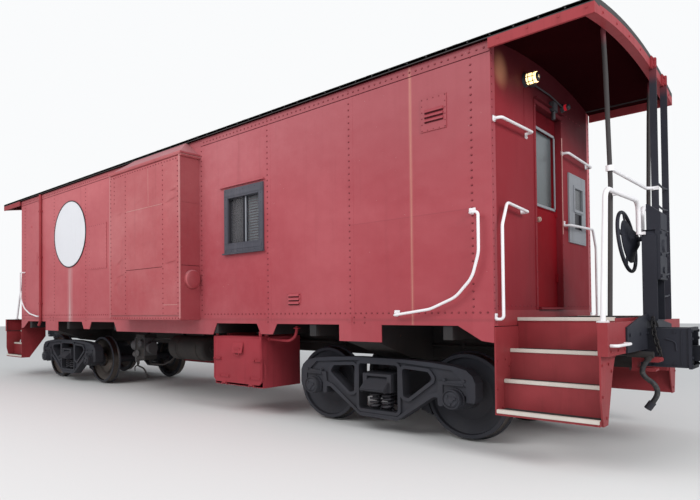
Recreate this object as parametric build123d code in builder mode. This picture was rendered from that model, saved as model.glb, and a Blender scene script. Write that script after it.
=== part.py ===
"""A bay-window caboose, four axles, built from its real pieces. Millimetres.

+X runs along the car towards the end with the visible platform, +Y to its left side, +Z up.
The origin is under the middle of the car, level with the bottoms of the wheel flanges.
"""
from build123d import *
import math
import os

os.makedirs("parts", exist_ok=True)

# Rails and wheels
FLANGE = 25                    # how far a flange reaches below the rail top
RAIL_TOP = FLANGE              # the rail top's height over the origin
TREAD_R = 419                  # 33 inch wheel
WHEEL_WIDTH = 140
BACK_TO_BACK = 1350            # between the backs of the two wheels
AXLE_R = 78
JOURNAL_Y = 990                # middle of each roller bearing
BEARING_R = 104
BEARING_LENGTH = 165
CAP_Y = 1146                   # outer face of the bearing cap

# Trucks
TRUCK_X = 3536                 # truck centres, each side of the middle
AXLE_X = 866                   # half of the truck's wheelbase
FRAME_TOP = RAIL_TOP + 770
FRAME_LOW = RAIL_TOP + 122
FRAME_HALF = 1075              # half length of a side frame
FRAME_RIM = 34                 # how wide the raised rims of its web are
FRAME_SUNK = 26                # how deep its web lies between them
FRAME_INNER_Y = 905
FRAME_OUTER_Y = 1065
BOWL_TOP = RAIL_TOP + 654      # where the body's centre plate rests
CENTRE_PLATE_R = 175
SPRING_LOW = RAIL_TOP + 210    # the side frame's spring seat
SPRING_HIGH = RAIL_TOP + 410   # under the bolster's ends
SHOE_Y = 763                   # middle of each brake shoe

# Underframe
SILL_UNDER = RAIL_TOP + 1125   # under the cabin floor
BEARER_LOW = RAIL_TOP + 996
BEARER_XS = (1250, 2195, 2900, 4500)
SILL_INNER = 330               # inner width of the centre sill

# Body
BODY_HALF = 4930               # half length over the end walls
BODY_WIDE = 1380               # half width over the side sheets
WALL = 90                      # a whole wall: sheet, frame and lining
SILL_LOW = RAIL_TOP + 1128     # lower edge of the side sheets
DECK_TOP = RAIL_TOP + 1190     # platform floor
CABIN_FLOOR = RAIL_TOP + 1265
WALL_TOP = 3630
ROOF_HALF = 5756               # half length of the roof
ROOF_WIDE = 1424
ROOF_CROWN = 3800
ROOF_EAVE = 3670
ROOF_THICK = 45
FASCIA_LOW = RAIL_TOP + 3518
SEAT = 0.3                     # how far apart seated pieces lie

# Smokejack
JACK_X = 2700
JACK_Y = 330

# Bay
BAY_MID = 50
BAY_HALF = 885
BAY_OUT = 1700                 # the outer face of the bay, from the middle of the car
BAY_WALL = 60
BAY_LOW = RAIL_TOP + 1170
BAY_TOP = 3400
BAY_RIDGE_HALF = 652           # half length of the bay's roof where it meets the eave

# Side windows
WINDOW_MID = 1815
WINDOW_WIDE = 700
WINDOW_LOW = RAIL_TOP + 2012
WINDOW_TALL = 825
PANE_WIDE = 560
PANE_LOW = RAIL_TOP + 2139
PANE_TALL = 579

# End walls
DOOR_FROM = -345               # door opening, across the car
DOOR_TO = 372
DOOR_LOW = RAIL_TOP + 1290
DOOR_HIGH = 3330
DOOR_FACE = 4880               # outer face of the shut door
DOOR_THICK = 45
DOOR_GAP = 10
HINGE_X = 4816                 # the doors' hinge pins
HINGE_Y = DOOR_TO + 10
HINGE_ZS = (1600, 2300, 3000)
END_WINDOW_MID = 870
END_WINDOW_WIDE = 570
END_WINDOW_LOW = RAIL_TOP + 2009
END_WINDOW_TALL = 769
DOOR_PANE_WIDE = 530
DOOR_PANE_TALL = 770
DOOR_PANE_Z = RAIL_TOP + 2718  # middle of the pane
KNOB_Z = RAIL_TOP + 2165

# Platforms
SILL_FACE = 5790               # outer face of the end sill
SILL_DEEP = 70
SILL_SHEET = 12
SILL_HALF = 1377               # half its length across the car
SILL_TOP = RAIL_TOP + 1160
SILL_BOTTOM = RAIL_TOP + 905
PLATFORM_HALF = 870            # half width of the platform floor
STEP_NOSES = ((1377, 410), (1213, 655), (1073, 915))  # distance from the middle, height over the rail
STEP_PANEL = 12
TREAD_DEEP = 40                # the folded front edge of each tread
RISER_SHEET = 12
INNER_PANEL = ((1215, 370), (SILL_HALF, 370), (SILL_HALF, 1120), (PLATFORM_HALF + SEAT, 1120),
               (PLATFORM_HALF + SEAT, 800))  # its outline: distance from the middle, height over the rail
OUTER_PANEL = ((SILL_HALF, 560), (1330, 365), (1210, 365), (1057, 765))  # its outline under the sill
OUTER_PANEL_TOP_Y = 975        # where its slanted back edge meets the sill
OUTER_PANEL_X = 5741           # outer face of the steps' outer panels, under the end sill
POST_X = 5660
POST_R = 18.5
POST_FOOT_Y = 780
POST_WAIST_Y = 690
RAILING_X = 5705
RAILING_FOOT_Y = 1165
RAILING_R = 20
RAILING_TOP = RAIL_TOP + 2245
BAR_R = 16                     # the bar from the post to the ladder
BAR_Z = RAIL_TOP + 2470
LADDER_X = 5735                # inner edge of the ladder's stiles
STILE_WIDE = 60
STILE_THICK = 12
LADDER_YS = (450, 930)
RUNGS = 6
RUNG_LOW = RAIL_TOP + 1410
RUNG_PITCH = 220
RUNG_SAG = 18
GRAB_R = 13

# Draft boxes and couplers
COUPLER_Z = RAIL_TOP + 876
DRAFT_BOX_FACE = 6110          # outer end of the draft box
DRAFT_BOX_LOW = RAIL_TOP + 752
DRAFT_BOX_HIGH = RAIL_TOP + 1094
DRAFT_BOX_HALF = 165
DRAFT_BOX_WALL = 20
COUPLER_FACE = 6430            # the pulling face
SHANK_HIGH = 130
SHANK_WIDE = 140
HEAD_HALF = 142                # half height of the coupler's head
KNUCKLE_X = COUPLER_FACE - 115
KNUCKLE_Y = 118
KNUCKLE_PIN_R = 20
KNUCKLE_HALF = 95              # half height of the knuckle

# Hand brake
BRAKE_Z = RAIL_TOP + 1902
BRAKE_WHEEL_R = 284
BRAKE_RIM_R = 16
BRAKE_WHEEL_X = 5617
BRAKE_TILT = 6.8               # how far the wheel's shaft rises towards the column
COLUMN_BACK = 5766             # the column, from its back to its open front
COLUMN_FRONT = 5880
COLUMN_HALF = 150
COLUMN_TOP = RAIL_TOP + 1985
SHAFT_R = 22

# Air line
HOSE_Y = -420
HOSE_R = 21
COCK_BORE_R = 16               # the angle cock's outlet
COCK_BORE_DEEP = 40
HOSE_ROUTE = ((5846, 850), (5812, 794), (5806, 734), (5840, 690), (5889, 658), (5917, 606), (5913, 544), (5880, 492))
PIPE_X = -3968                 # the pipe down the side
PIPE_R = 18
PIPE_OUT = BODY_WIDE + 24

# Tool box
BOX_FROM = 1158
BOX_TO = 2050
BOX_OUT = 1300
BOX_IN = 620
BOX_LOW = RAIL_TOP + 335
BOX_TOP = RAIL_TOP + 965
BOX_WALL = 8
BOX_HINGE_Y = BOX_OUT + 18
BOX_HINGE_Z = BOX_LOW + 25
BOX_HINGE_XS = (1350, 1858)


def write(part, name):
    part.label = name
    export_step(part, f"parts/{name}.step")


def both_ways(part):
    """The piece and its copy turned half round about Z, as one node."""
    return Compound(children=[*part.solids(), *part.rotate(Axis.Z, 180).solids()])


def side_plane(x, out):
    """An upright plane that faces -Y, at a distance out from the middle, with its origin at x."""
    return Plane(origin=(x, -out, 0), x_dir=(1, 0, 0), z_dir=(0, -1, 0))


def turned(part, way):
    return part if way == 1 else part.rotate(Axis.Z, 180)


def roof_height(y, drop=0.0):
    """Height of the roof's outer face at y, less a drop."""
    rise = ROOF_CROWN - ROOF_EAVE
    radius = (ROOF_WIDE**2 + rise**2) / (2 * rise)
    return ROOF_CROWN - (radius - math.sqrt(radius**2 - y**2)) - drop


# Trucks: side frames, bolster, springs and wheelsets
def frame_outline():
    """The cast frame's outline and its five holes, drawn about the truck's middle, as (outline, holes)."""
    jaw = BEARING_R + 16
    half = ((300, FRAME_TOP - 3), (624, FRAME_TOP - 18), (860, FRAME_TOP - 42), (985, FRAME_TOP - 72), (1046, FRAME_TOP - 125),
            (FRAME_HALF, FRAME_TOP - 190), (FRAME_HALF, RAIL_TOP + 440), (FRAME_HALF - 12, RAIL_TOP + 392),
            (AXLE_X + jaw, RAIL_TOP + 392), (AXLE_X + jaw, RAIL_TOP + 545), (AXLE_X - jaw, RAIL_TOP + 545),
            (AXLE_X - jaw, RAIL_TOP + 335), (AXLE_X - jaw - 50, RAIL_TOP + 335), (AXLE_X - jaw - 58, RAIL_TOP + 415),
            (AXLE_X - jaw - 108, RAIL_TOP + 412), (228, FRAME_LOW + 8))
    with BuildSketch(mode=Mode.PRIVATE) as outline:
        with BuildLine():
            Polyline(*half, *[(-x, z) for x, z in reversed(half)], close=True)
        make_face()
        fillet(outline.vertices().filter_by(lambda v: abs(v.Y - RAIL_TOP - 335) < 1), 16)
    with BuildSketch(mode=Mode.PRIVATE) as triangles:
        for way in (-1, 1):
            with BuildLine():
                Polyline((way * 296, RAIL_TOP + 676), (way * 588, RAIL_TOP + 658), (way * 640, RAIL_TOP + 588),
                         (way * 366, RAIL_TOP + 374), (way * 306, RAIL_TOP + 384), close=True)
            make_face()
        fillet(triangles.vertices(), 28)
    with BuildSketch(mode=Mode.PRIVATE) as window:
        with Locations((0, RAIL_TOP + 455)):
            RectangleRounded(484, 490, 30)
    return outline.sketch, triangles.sketch, window.sketch


def side_frames(truck_x):
    outline, triangles, window = frame_outline()
    with BuildPart() as frames:
        with BuildSketch(side_plane(truck_x, FRAME_INNER_Y)):
            add(outline)
            add(triangles, mode=Mode.SUBTRACT)
            add(window, mode=Mode.SUBTRACT)
        extrude(amount=FRAME_OUTER_Y - FRAME_INNER_Y)
        # the sunk web between the rims, on both faces
        for face, way in ((FRAME_OUTER_Y, -1), (FRAME_INNER_Y, 1)):
            with BuildSketch(side_plane(truck_x, face)):
                with BuildLine():
                    Polyline((-660, RAIL_TOP + 705), (-300, RAIL_TOP + 732), (300, RAIL_TOP + 732), (660, RAIL_TOP + 705),
                             (840, RAIL_TOP + 690), (940, RAIL_TOP + 600), (700, RAIL_TOP + 575), (690, RAIL_TOP + 470),
                             (600, RAIL_TOP + 440), (236, RAIL_TOP + 172), (-236, RAIL_TOP + 172), (-600, RAIL_TOP + 440),
                             (-690, RAIL_TOP + 470), (-700, RAIL_TOP + 575), (-940, RAIL_TOP + 600), (-840, RAIL_TOP + 690),
                             close=True)
                make_face()
                offset(triangles, FRAME_RIM, kind=Kind.ARC, mode=Mode.SUBTRACT)
                offset(window, FRAME_RIM, kind=Kind.ARC, mode=Mode.SUBTRACT)
            extrude(amount=way * FRAME_SUNK, mode=Mode.SUBTRACT)
        # the adapters' round seats on the bearings
        for way in (-1, 1):
            with BuildSketch(side_plane(truck_x + way * AXLE_X, JOURNAL_Y - 60)):
                with Locations((0, RAIL_TOP + 500)):
                    Rectangle(2 * BEARING_R + 36, 94)
                with Locations((0, RAIL_TOP + TREAD_R)):
                    Circle(BEARING_R + SEAT, mode=Mode.SUBTRACT)
            extrude(amount=120)
    return Compound(children=[*frames.part.solids(), *frames.part.mirror(Plane.XZ).solids()])


def bolster(truck_x):
    with BuildPart() as beam:
        with BuildSketch(Plane.YZ.offset(truck_x - 175)):
            with BuildLine():
                Polyline((-1085, RAIL_TOP + 410), (-860, RAIL_TOP + 410), (-500, RAIL_TOP + 330), (500, RAIL_TOP + 330),
                         (860, RAIL_TOP + 410), (1085, RAIL_TOP + 410), (1085, RAIL_TOP + 600), (880, RAIL_TOP + 612),
                         (-880, RAIL_TOP + 612), (-1085, RAIL_TOP + 600), close=True)
            make_face()
        extrude(amount=350)
        # the pocket in each end and the sloping lip that closes it below
        for way in (-1, 1):
            with Locations((truck_x, way * 1085, RAIL_TOP + 520)):
                Box(250, 90, 110, mode=Mode.SUBTRACT)
        with BuildSketch(Plane.YZ.offset(truck_x - 150)):
            for way in (-1, 1):
                with BuildLine():
                    Polyline((way * 1040, RAIL_TOP + 545), (way * 1128, RAIL_TOP + 432), (way * 1128, RAIL_TOP + 410),
                             (way * 1040, RAIL_TOP + 410), close=True)
                make_face()
        extrude(amount=300)
        with BuildSketch(Plane.YZ.offset(truck_x - 12)):
            for way in (-1, 1):
                with BuildLine():
                    Polyline((way * 1040, RAIL_TOP + 572), (way * 1132, RAIL_TOP + 448), (way * 1128, RAIL_TOP + 425),
                             (way * 1040, RAIL_TOP + 500), close=True)
                make_face()
        extrude(amount=24)
        with BuildSketch(Plane.XY.offset(RAIL_TOP + 600)):
            with Locations((truck_x, 0)):
                Circle(CENTRE_PLATE_R + 45)
        extrude(amount=BOWL_TOP + 26 - RAIL_TOP - 600)
        with BuildSketch(Plane.XY.offset(BOWL_TOP)):
            with Locations((truck_x, 0)):
                Circle(CENTRE_PLATE_R + 8)
        extrude(amount=80, mode=Mode.SUBTRACT)
        for way in (-1, 1):
            with Locations((truck_x, way * 635, RAIL_TOP + 635)):
                Box(180, 110, 70)
    return beam.part


def brake_beams(truck_x):
    """A beam beside each axle, its lugs in the side frames, with a shoe in front of each wheel."""
    with BuildPart() as beams:
        for way in (-1, 1):
            with Locations((truck_x + way * 365, 0, RAIL_TOP + 325)):
                Box(46, 2 * (FRAME_INNER_Y - SEAT), 60)
            for side in (-1, 1):
                with BuildSketch(side_plane(truck_x + way * 366, side * SHOE_Y - 42)):
                    with BuildLine():
                        Polyline((0, RAIL_TOP + 230), (way * 130, RAIL_TOP + 190), (way * 130, RAIL_TOP + 480),
                                 (way * 40, RAIL_TOP + 440), (0, RAIL_TOP + 370), close=True)
                    make_face()
                    with Locations((way * (AXLE_X - 366), RAIL_TOP + TREAD_R)):
                        Circle(TREAD_R + 14, mode=Mode.SUBTRACT)
                extrude(amount=84)
    return beams.part


def springs(truck_x):
    with BuildPart() as coils:
        for way in (-1, 1):
            with BuildSketch(Plane.XY.offset(SPRING_LOW + SEAT)):
                with Locations((truck_x, way * 985)):
                    with GridLocations(150, 150, 2, 1):
                        Circle(68)
            extrude(amount=SPRING_HIGH - SPRING_LOW - 2 * SEAT)
    return coils.part


def wheelset(x):
    half = BACK_TO_BACK / 2
    with BuildPart() as pair:
        with BuildSketch(Plane.XY):
            with BuildLine():
                Polyline((0, 0), (0, CAP_Y), (60, CAP_Y), (92, CAP_Y - 22), (92, JOURNAL_Y + BEARING_LENGTH / 2),
                         (BEARING_R, JOURNAL_Y + BEARING_LENGTH / 2), (BEARING_R, JOURNAL_Y - BEARING_LENGTH / 2),
                         (AXLE_R, JOURNAL_Y - BEARING_LENGTH / 2), (AXLE_R, half + 165), (118, half + 165),
                         (128, half + 95), (235, half + 62), (340, half + 92), (TREAD_R - 45, half + 100),
                         (TREAD_R - 38, half + WHEEL_WIDTH), (TREAD_R - 5, half + WHEEL_WIDTH),
                         (TREAD_R, half + WHEEL_WIDTH - 8), (TREAD_R + 2, half + 42), (TREAD_R + 8, half + 34),
                         (TREAD_R + FLANGE - 4, half + 24), (TREAD_R + FLANGE, half + 14),
                         (TREAD_R + FLANGE - 6, half + 4), (TREAD_R + 10, half), (TREAD_R - 40, half),
                         (330, half + 64), (235, half + 34), (130, half + 40), (118, half - 22), (AXLE_R, half - 22),
                         (AXLE_R - 6, 0), close=True)
            make_face()
        revolve(axis=Axis.Y)
        mirror(about=Plane.XZ)
    return pair.part.translate((x, 0, RAIL_TOP + TREAD_R))


for number, (truck_name, way) in enumerate((("near", 1), ("far", -1))):
    write(side_frames(way * TRUCK_X), f"side_frames_{truck_name}")
    write(bolster(way * TRUCK_X), f"bolster_{truck_name}")
    write(springs(way * TRUCK_X), f"springs_{truck_name}")
    write(brake_beams(way * TRUCK_X), f"brake_beams_{truck_name}")
    for place, axle_x in enumerate((AXLE_X, -AXLE_X)):
        write(wheelset(way * (TRUCK_X + axle_x)), f"wheelset_{2 * number + place + 1}")

# Underframe: centre sill, body bolsters and cross bearers
with BuildPart() as underframe:
    with BuildSketch(Plane.YZ.offset(-SILL_FACE + SILL_DEEP)):
        with Locations((0, RAIL_TOP + 930)):
            Rectangle(420, 390)
        with Locations((0, RAIL_TOP + 905)):
            Rectangle(SILL_INNER, 380, mode=Mode.SUBTRACT)
    extrude(amount=2 * (SILL_FACE - SILL_DEEP))
    for x in (-TRUCK_X, TRUCK_X):
        with BuildSketch(Plane.YZ.offset(x - 190)):
            with BuildLine():
                Polyline((-BODY_WIDE + 12, RAIL_TOP + 1124), (-BODY_WIDE + 12, RAIL_TOP + 960), (-700, RAIL_TOP + 760),
                         (-220, RAIL_TOP + 700), (220, RAIL_TOP + 700), (700, RAIL_TOP + 760),
                         (BODY_WIDE - 12, RAIL_TOP + 960), (BODY_WIDE - 12, RAIL_TOP + 1124), close=True)
            make_face()
        extrude(amount=380)
        with BuildSketch(Plane.XY.offset(BOWL_TOP + SEAT)):
            with Locations((x, 0)):
                Circle(CENTRE_PLATE_R)
        extrude(amount=60)
    for x in (0, *BEARER_XS, *[-x for x in BEARER_XS]):
        with Locations((x, 0, (BEARER_LOW + SILL_UNDER - 1) / 2)):
            Box(90, 2 * BODY_WIDE - 30, SILL_UNDER - 1 - BEARER_LOW)
write(underframe.part, "underframe")

# Floors: the cabin's and the two platforms'
with BuildPart() as floor:
    with Locations((0, 0, SILL_UNDER + (CABIN_FLOOR - SILL_UNDER) / 2)):
        Box(2 * BODY_HALF, 2 * (BODY_WIDE - WALL), CABIN_FLOOR - SILL_UNDER)
    for way in (-1, 1):
        with Locations((way * (BODY_HALF + SILL_FACE - SILL_DEEP) / 2, 0, DECK_TOP - 32)):
            Box(SILL_FACE - SILL_DEEP - BODY_HALF, 2 * PLATFORM_HALF, 64)
write(floor.part, "floor")


# Side walls: one sheet-metal wall each, with the skirts under the sill.
# Each plate: its middle along the car, its middle over the rail, width, height, thickness
WALL_PLATES = (
    (-1790, 2400, 580, 760, 8),
    (4395, 3098, 258, 316, 8),
    (2640, 1413, 198, 118, 8),
    (1780, 2872, 806, 14, 34),
)


def side_wall():
    with BuildPart() as wall:
        with BuildSketch(Plane.XZ.offset(BODY_WIDE - WALL)):
            with Locations((0, (SILL_LOW + WALL_TOP) / 2)):
                Rectangle(2 * BODY_HALF, WALL_TOP - SILL_LOW)
            with Locations((WINDOW_MID, WINDOW_LOW + WINDOW_TALL / 2)):
                Rectangle(WINDOW_WIDE - 40, WINDOW_TALL - 40, mode=Mode.SUBTRACT)
            with Locations((BAY_MID, (BAY_LOW + 45 + BAY_TOP - 100) / 2)):
                Rectangle(2 * (BAY_HALF - BAY_WALL), BAY_TOP - 100 - BAY_LOW - 45, mode=Mode.SUBTRACT)
        extrude(amount=WALL)
        with BuildSketch(Plane.XZ.offset(BODY_WIDE - 10)):
            for outline in (
                ((-1280, 1128), (-1200, 980), (1200, 980), (1280, 1128)),
                ((2027, 1128), (2095, 1003), (2290, 1003), (2362, 1128)),
                ((-2362, 1128), (-2290, 1003), (-2095, 1003), (-2027, 1128)),
                ((3275, 1128), (3275, 955), (3800, 955), (3800, 1128)),
                ((-3800, 1128), (-3800, 955), (-3275, 955), (-3275, 1128)),
                ((4604, 1128), (4823, 998), (BODY_HALF, 984), (BODY_HALF, 1128)),
                ((-BODY_HALF, 1128), (-BODY_HALF, 984), (-4823, 998), (-4604, 1128)),
            ):
                with BuildLine():
                    Polyline(*[(x, RAIL_TOP + z) for x, z in outline], close=True)
                make_face()
        extrude(amount=10)
        # the closed-up window, two louvre panels and the drip cap over the window
        for x, z, wide, tall, thick in WALL_PLATES:
            with BuildSketch(Plane.XZ.offset(BODY_WIDE)):
                with Locations((x, RAIL_TOP + z)):
                    Rectangle(wide, tall)
            extrude(amount=thick)
    return wall.part


write(side_wall(), "side_wall_right")
write(side_wall().rotate(Axis.Z, 180), "side_wall_left")


# Bays: a hollow box on each side with a hipped top
def bay():
    with BuildPart() as box:
        with BuildSketch(Plane.XY.offset(BAY_LOW)):
            with Locations((BAY_MID, -(BAY_OUT + BODY_WIDE) / 2)):
                Rectangle(2 * BAY_HALF, BAY_OUT - BODY_WIDE)
        extrude(amount=BAY_TOP - BAY_LOW)
        with BuildSketch(Plane.XY.offset(BAY_TOP)):
            with Locations((BAY_MID, -(BAY_OUT + 22 + BODY_WIDE) / 2)):
                Rectangle(2 * BAY_HALF + 44, BAY_OUT + 22 - BODY_WIDE)
        extrude(amount=24)
        with BuildSketch(Plane.XY.offset(BAY_TOP + 24)):
            with Locations((BAY_MID, -(BAY_OUT + BODY_WIDE) / 2)):
                Rectangle(2 * BAY_HALF, BAY_OUT - BODY_WIDE)
        with BuildSketch(Plane.XY.offset(WALL_TOP)):
            with Locations((BAY_MID, -(ROOF_WIDE + BODY_WIDE) / 2)):
                Rectangle(2 * BAY_RIDGE_HALF, ROOF_WIDE - BODY_WIDE)
        loft(ruled=True)
        with BuildSketch(Plane.XY.offset(BAY_LOW + 45)):
            with Locations((BAY_MID, -(BAY_OUT - BAY_WALL + BODY_WIDE) / 2)):
                Rectangle(2 * (BAY_HALF - BAY_WALL), BAY_OUT - BAY_WALL - BODY_WIDE)
        extrude(amount=BAY_TOP - 100 - BAY_LOW - 45, mode=Mode.SUBTRACT)
        # the plate over its window
        with BuildSketch(Plane.XZ.offset(BAY_OUT)):
            with Locations((35, RAIL_TOP + 2425)):
                Rectangle(942, 1050)
        extrude(amount=6)
    return box.part


write(bay(), "bay_right")
write(bay().rotate(Axis.Z, 180), "bay_left")


# End walls with the doorway and one window
def end_wall():
    with BuildPart() as wall:
        with BuildSketch(Plane.YZ.offset(BODY_HALF - WALL)):
            half = BODY_WIDE - WALL
            with BuildLine():
                Line((-half, CABIN_FLOOR), (half, CABIN_FLOOR))
                Line((half, CABIN_FLOOR), (half, roof_height(half, ROOF_THICK + SEAT)))
                ThreePointArc((half, roof_height(half, ROOF_THICK + SEAT)), (0, roof_height(0, ROOF_THICK + SEAT)),
                              (-half, roof_height(half, ROOF_THICK + SEAT)))
                Line((-half, roof_height(half, ROOF_THICK + SEAT)), (-half, CABIN_FLOOR))
            make_face()
            with Locations(((DOOR_FROM + DOOR_TO) / 2, (DOOR_LOW + DOOR_HIGH) / 2)):
                Rectangle(DOOR_TO - DOOR_FROM, DOOR_HIGH - DOOR_LOW, mode=Mode.SUBTRACT)
            with Locations((END_WINDOW_MID, END_WINDOW_LOW + END_WINDOW_TALL / 2)):
                Rectangle(END_WINDOW_WIDE - 40, END_WINDOW_TALL - 40, mode=Mode.SUBTRACT)
        extrude(amount=WALL)
        # hinge lugs inside the doorway
        for z in HINGE_ZS:
            with BuildSketch(Plane.XY.offset(z - 40)):
                with Locations((HINGE_X + 10, HINGE_Y + 14)):
                    Rectangle(2 * (BODY_HALF - WALL - HINGE_X - 10), 56)
                with Locations((HINGE_X, HINGE_Y)):
                    Circle(8 + SEAT, mode=Mode.SUBTRACT)
            extrude(amount=36)
    return wall.part


def end_door():
    low = DOOR_LOW + DOOR_GAP
    high = DOOR_HIGH - DOOR_GAP
    wide = DOOR_TO - DOOR_FROM - 2 * DOOR_GAP
    mid = (DOOR_FROM + DOOR_TO) / 2
    with BuildPart() as door:
        with BuildSketch(Plane.YZ.offset(DOOR_FACE - DOOR_THICK)):
            with Locations((mid, (low + high) / 2)):
                Rectangle(wide, high - low)
            with Locations((mid, DOOR_PANE_Z)):
                Rectangle(DOOR_PANE_WIDE, DOOR_PANE_TALL, mode=Mode.SUBTRACT)
        extrude(amount=DOOR_THICK)
        # the frame round the pane
        with BuildSketch(Plane.YZ.offset(DOOR_FACE - 1)):
            with Locations((mid, DOOR_PANE_Z)):
                Rectangle(DOOR_PANE_WIDE + 60, DOOR_PANE_TALL + 60)
                Rectangle(DOOR_PANE_WIDE, DOOR_PANE_TALL, mode=Mode.SUBTRACT)
        extrude(amount=9)
        for z in HINGE_ZS:
            with BuildSketch(Plane.XY.offset(z)):
                with Locations((HINGE_X, HINGE_Y)):
                    Circle(12)
                with BuildLine():
                    Polyline((HINGE_X - 8, HINGE_Y - 8), (HINGE_X + 12, HINGE_Y), (DOOR_FACE - DOOR_THICK + 1, DOOR_TO - 30),
                             (DOOR_FACE - DOOR_THICK + 1, DOOR_TO - 70), close=True)
                make_face()
            extrude(amount=60)
            with BuildSketch(Plane.XY.offset(z - 38)):
                with Locations((HINGE_X, HINGE_Y)):
                    Circle(8)
            extrude(amount=40)
        # the knob and its spindle
        with BuildSketch(Plane.YZ.offset(DOOR_FACE - 1)):
            with Locations((DOOR_FROM + 60, KNOB_Z)):
                Circle(14)
        extrude(amount=40)
        with Locations((DOOR_FACE + 48, DOOR_FROM + 60, KNOB_Z)):
            Sphere(26)
    return door.part


def door_glass():
    mid = (DOOR_FROM + DOOR_TO) / 2
    with BuildPart() as pane:
        with Locations((DOOR_FACE - DOOR_THICK / 2, mid, DOOR_PANE_Z)):
            Box(8, DOOR_PANE_WIDE - 2 * SEAT, DOOR_PANE_TALL - 2 * SEAT)
    return pane.part


for end_name, way in (("near", 1), ("far", -1)):
    write(turned(end_wall(), way), f"end_wall_{end_name}")
    write(turned(end_door(), way), f"door_{end_name}")
    write(turned(door_glass(), way), f"door_glass_{end_name}")

# Roof: one arched sheet with a lip along each side
with BuildPart() as roof:
    with BuildSketch(Plane.YZ.offset(-ROOF_HALF)):
        with BuildLine():
            ThreePointArc((-ROOF_WIDE, ROOF_EAVE), (0, ROOF_CROWN), (ROOF_WIDE, ROOF_EAVE))
            Polyline((ROOF_WIDE, ROOF_EAVE), (ROOF_WIDE, WALL_TOP + SEAT), (BODY_WIDE - WALL, WALL_TOP + SEAT),
                     (BODY_WIDE - WALL, roof_height(BODY_WIDE - WALL, ROOF_THICK)))
            ThreePointArc((BODY_WIDE - WALL, roof_height(BODY_WIDE - WALL, ROOF_THICK)), (0, ROOF_CROWN - ROOF_THICK),
                          (-BODY_WIDE + WALL, roof_height(BODY_WIDE - WALL, ROOF_THICK)))
            Polyline((-BODY_WIDE + WALL, roof_height(BODY_WIDE - WALL, ROOF_THICK)), (-BODY_WIDE + WALL, WALL_TOP + SEAT),
                     (-ROOF_WIDE, WALL_TOP + SEAT), (-ROOF_WIDE, ROOF_EAVE))
        make_face()
    extrude(amount=2 * ROOF_HALF)
write(roof.part, "roof")

# Fascias under the roof's edges over the platforms, the end ones with a flange inwards
FASCIA_THICK = 24
ARCH = ROOF_CROWN - ROOF_EAVE
with BuildPart() as fascias:
    half = BODY_WIDE - WALL - SEAT
    under = roof_height(half, ROOF_THICK + SEAT)
    for way in (-1, 1):
        for side in (-1, 1):
            with Locations((way * (BODY_HALF + SEAT + ROOF_HALF) / 2, side * (ROOF_WIDE - FASCIA_THICK / 2),
                            (FASCIA_LOW + WALL_TOP) / 2)):
                Box(ROOF_HALF - BODY_HALF - SEAT, FASCIA_THICK, WALL_TOP - FASCIA_LOW)
        with BuildSketch(Plane.YZ.offset(way * (ROOF_HALF - FASCIA_THICK / 2) - FASCIA_THICK / 2)):
            with BuildLine():
                ThreePointArc((-half, under), (0, ROOF_CROWN - ROOF_THICK - SEAT), (half, under))
                Polyline((half, under), (half, WALL_TOP), (ROOF_WIDE, WALL_TOP), (ROOF_WIDE, FASCIA_LOW))
                ThreePointArc((ROOF_WIDE, FASCIA_LOW), (0, FASCIA_LOW + ARCH), (-ROOF_WIDE, FASCIA_LOW))
                Polyline((-ROOF_WIDE, FASCIA_LOW), (-ROOF_WIDE, WALL_TOP), (-half, WALL_TOP), (-half, under))
            make_face()
        extrude(amount=FASCIA_THICK)
        with BuildSketch(Plane.YZ.offset(way * (ROOF_HALF - 37) - 37)):
            with BuildLine():
                ThreePointArc((-ROOF_WIDE, FASCIA_LOW), (0, FASCIA_LOW + ARCH), (ROOF_WIDE, FASCIA_LOW))
                Line((ROOF_WIDE, FASCIA_LOW), (ROOF_WIDE, FASCIA_LOW + 8))
                ThreePointArc((ROOF_WIDE, FASCIA_LOW + 8), (0, FASCIA_LOW + ARCH + 8), (-ROOF_WIDE, FASCIA_LOW + 8))
                Line((-ROOF_WIDE, FASCIA_LOW + 8), (-ROOF_WIDE, FASCIA_LOW))
            make_face()
        extrude(amount=74)
write(fascias.part, "roof_fascias")

# Smokejack, its foot cut to the roof's curve
with BuildPart() as smokejack:
    for radius, low, high in ((75, 3700, 4130), (120, 3700, 3830)):
        with BuildSketch(Plane.XY.offset(low)):
            with Locations((JACK_X, JACK_Y)):
                Circle(radius)
        extrude(amount=high - low)
    with BuildSketch(Plane.XY.offset(4130)):
        with Locations((JACK_X, JACK_Y)):
            Circle(135)
    extrude(amount=60, taper=25)
    with BuildSketch(Plane.YZ.offset(JACK_X - 200)):
        with BuildLine():
            ThreePointArc((-ROOF_WIDE, ROOF_EAVE + SEAT), (0, ROOF_CROWN + SEAT), (ROOF_WIDE, ROOF_EAVE + SEAT))
            Polyline((ROOF_WIDE, ROOF_EAVE + SEAT), (ROOF_WIDE, 3500), (-ROOF_WIDE, 3500), (-ROOF_WIDE, ROOF_EAVE + SEAT))
        make_face()
    extrude(amount=400, mode=Mode.SUBTRACT)
write(smokejack.part, "smokejack")

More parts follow.
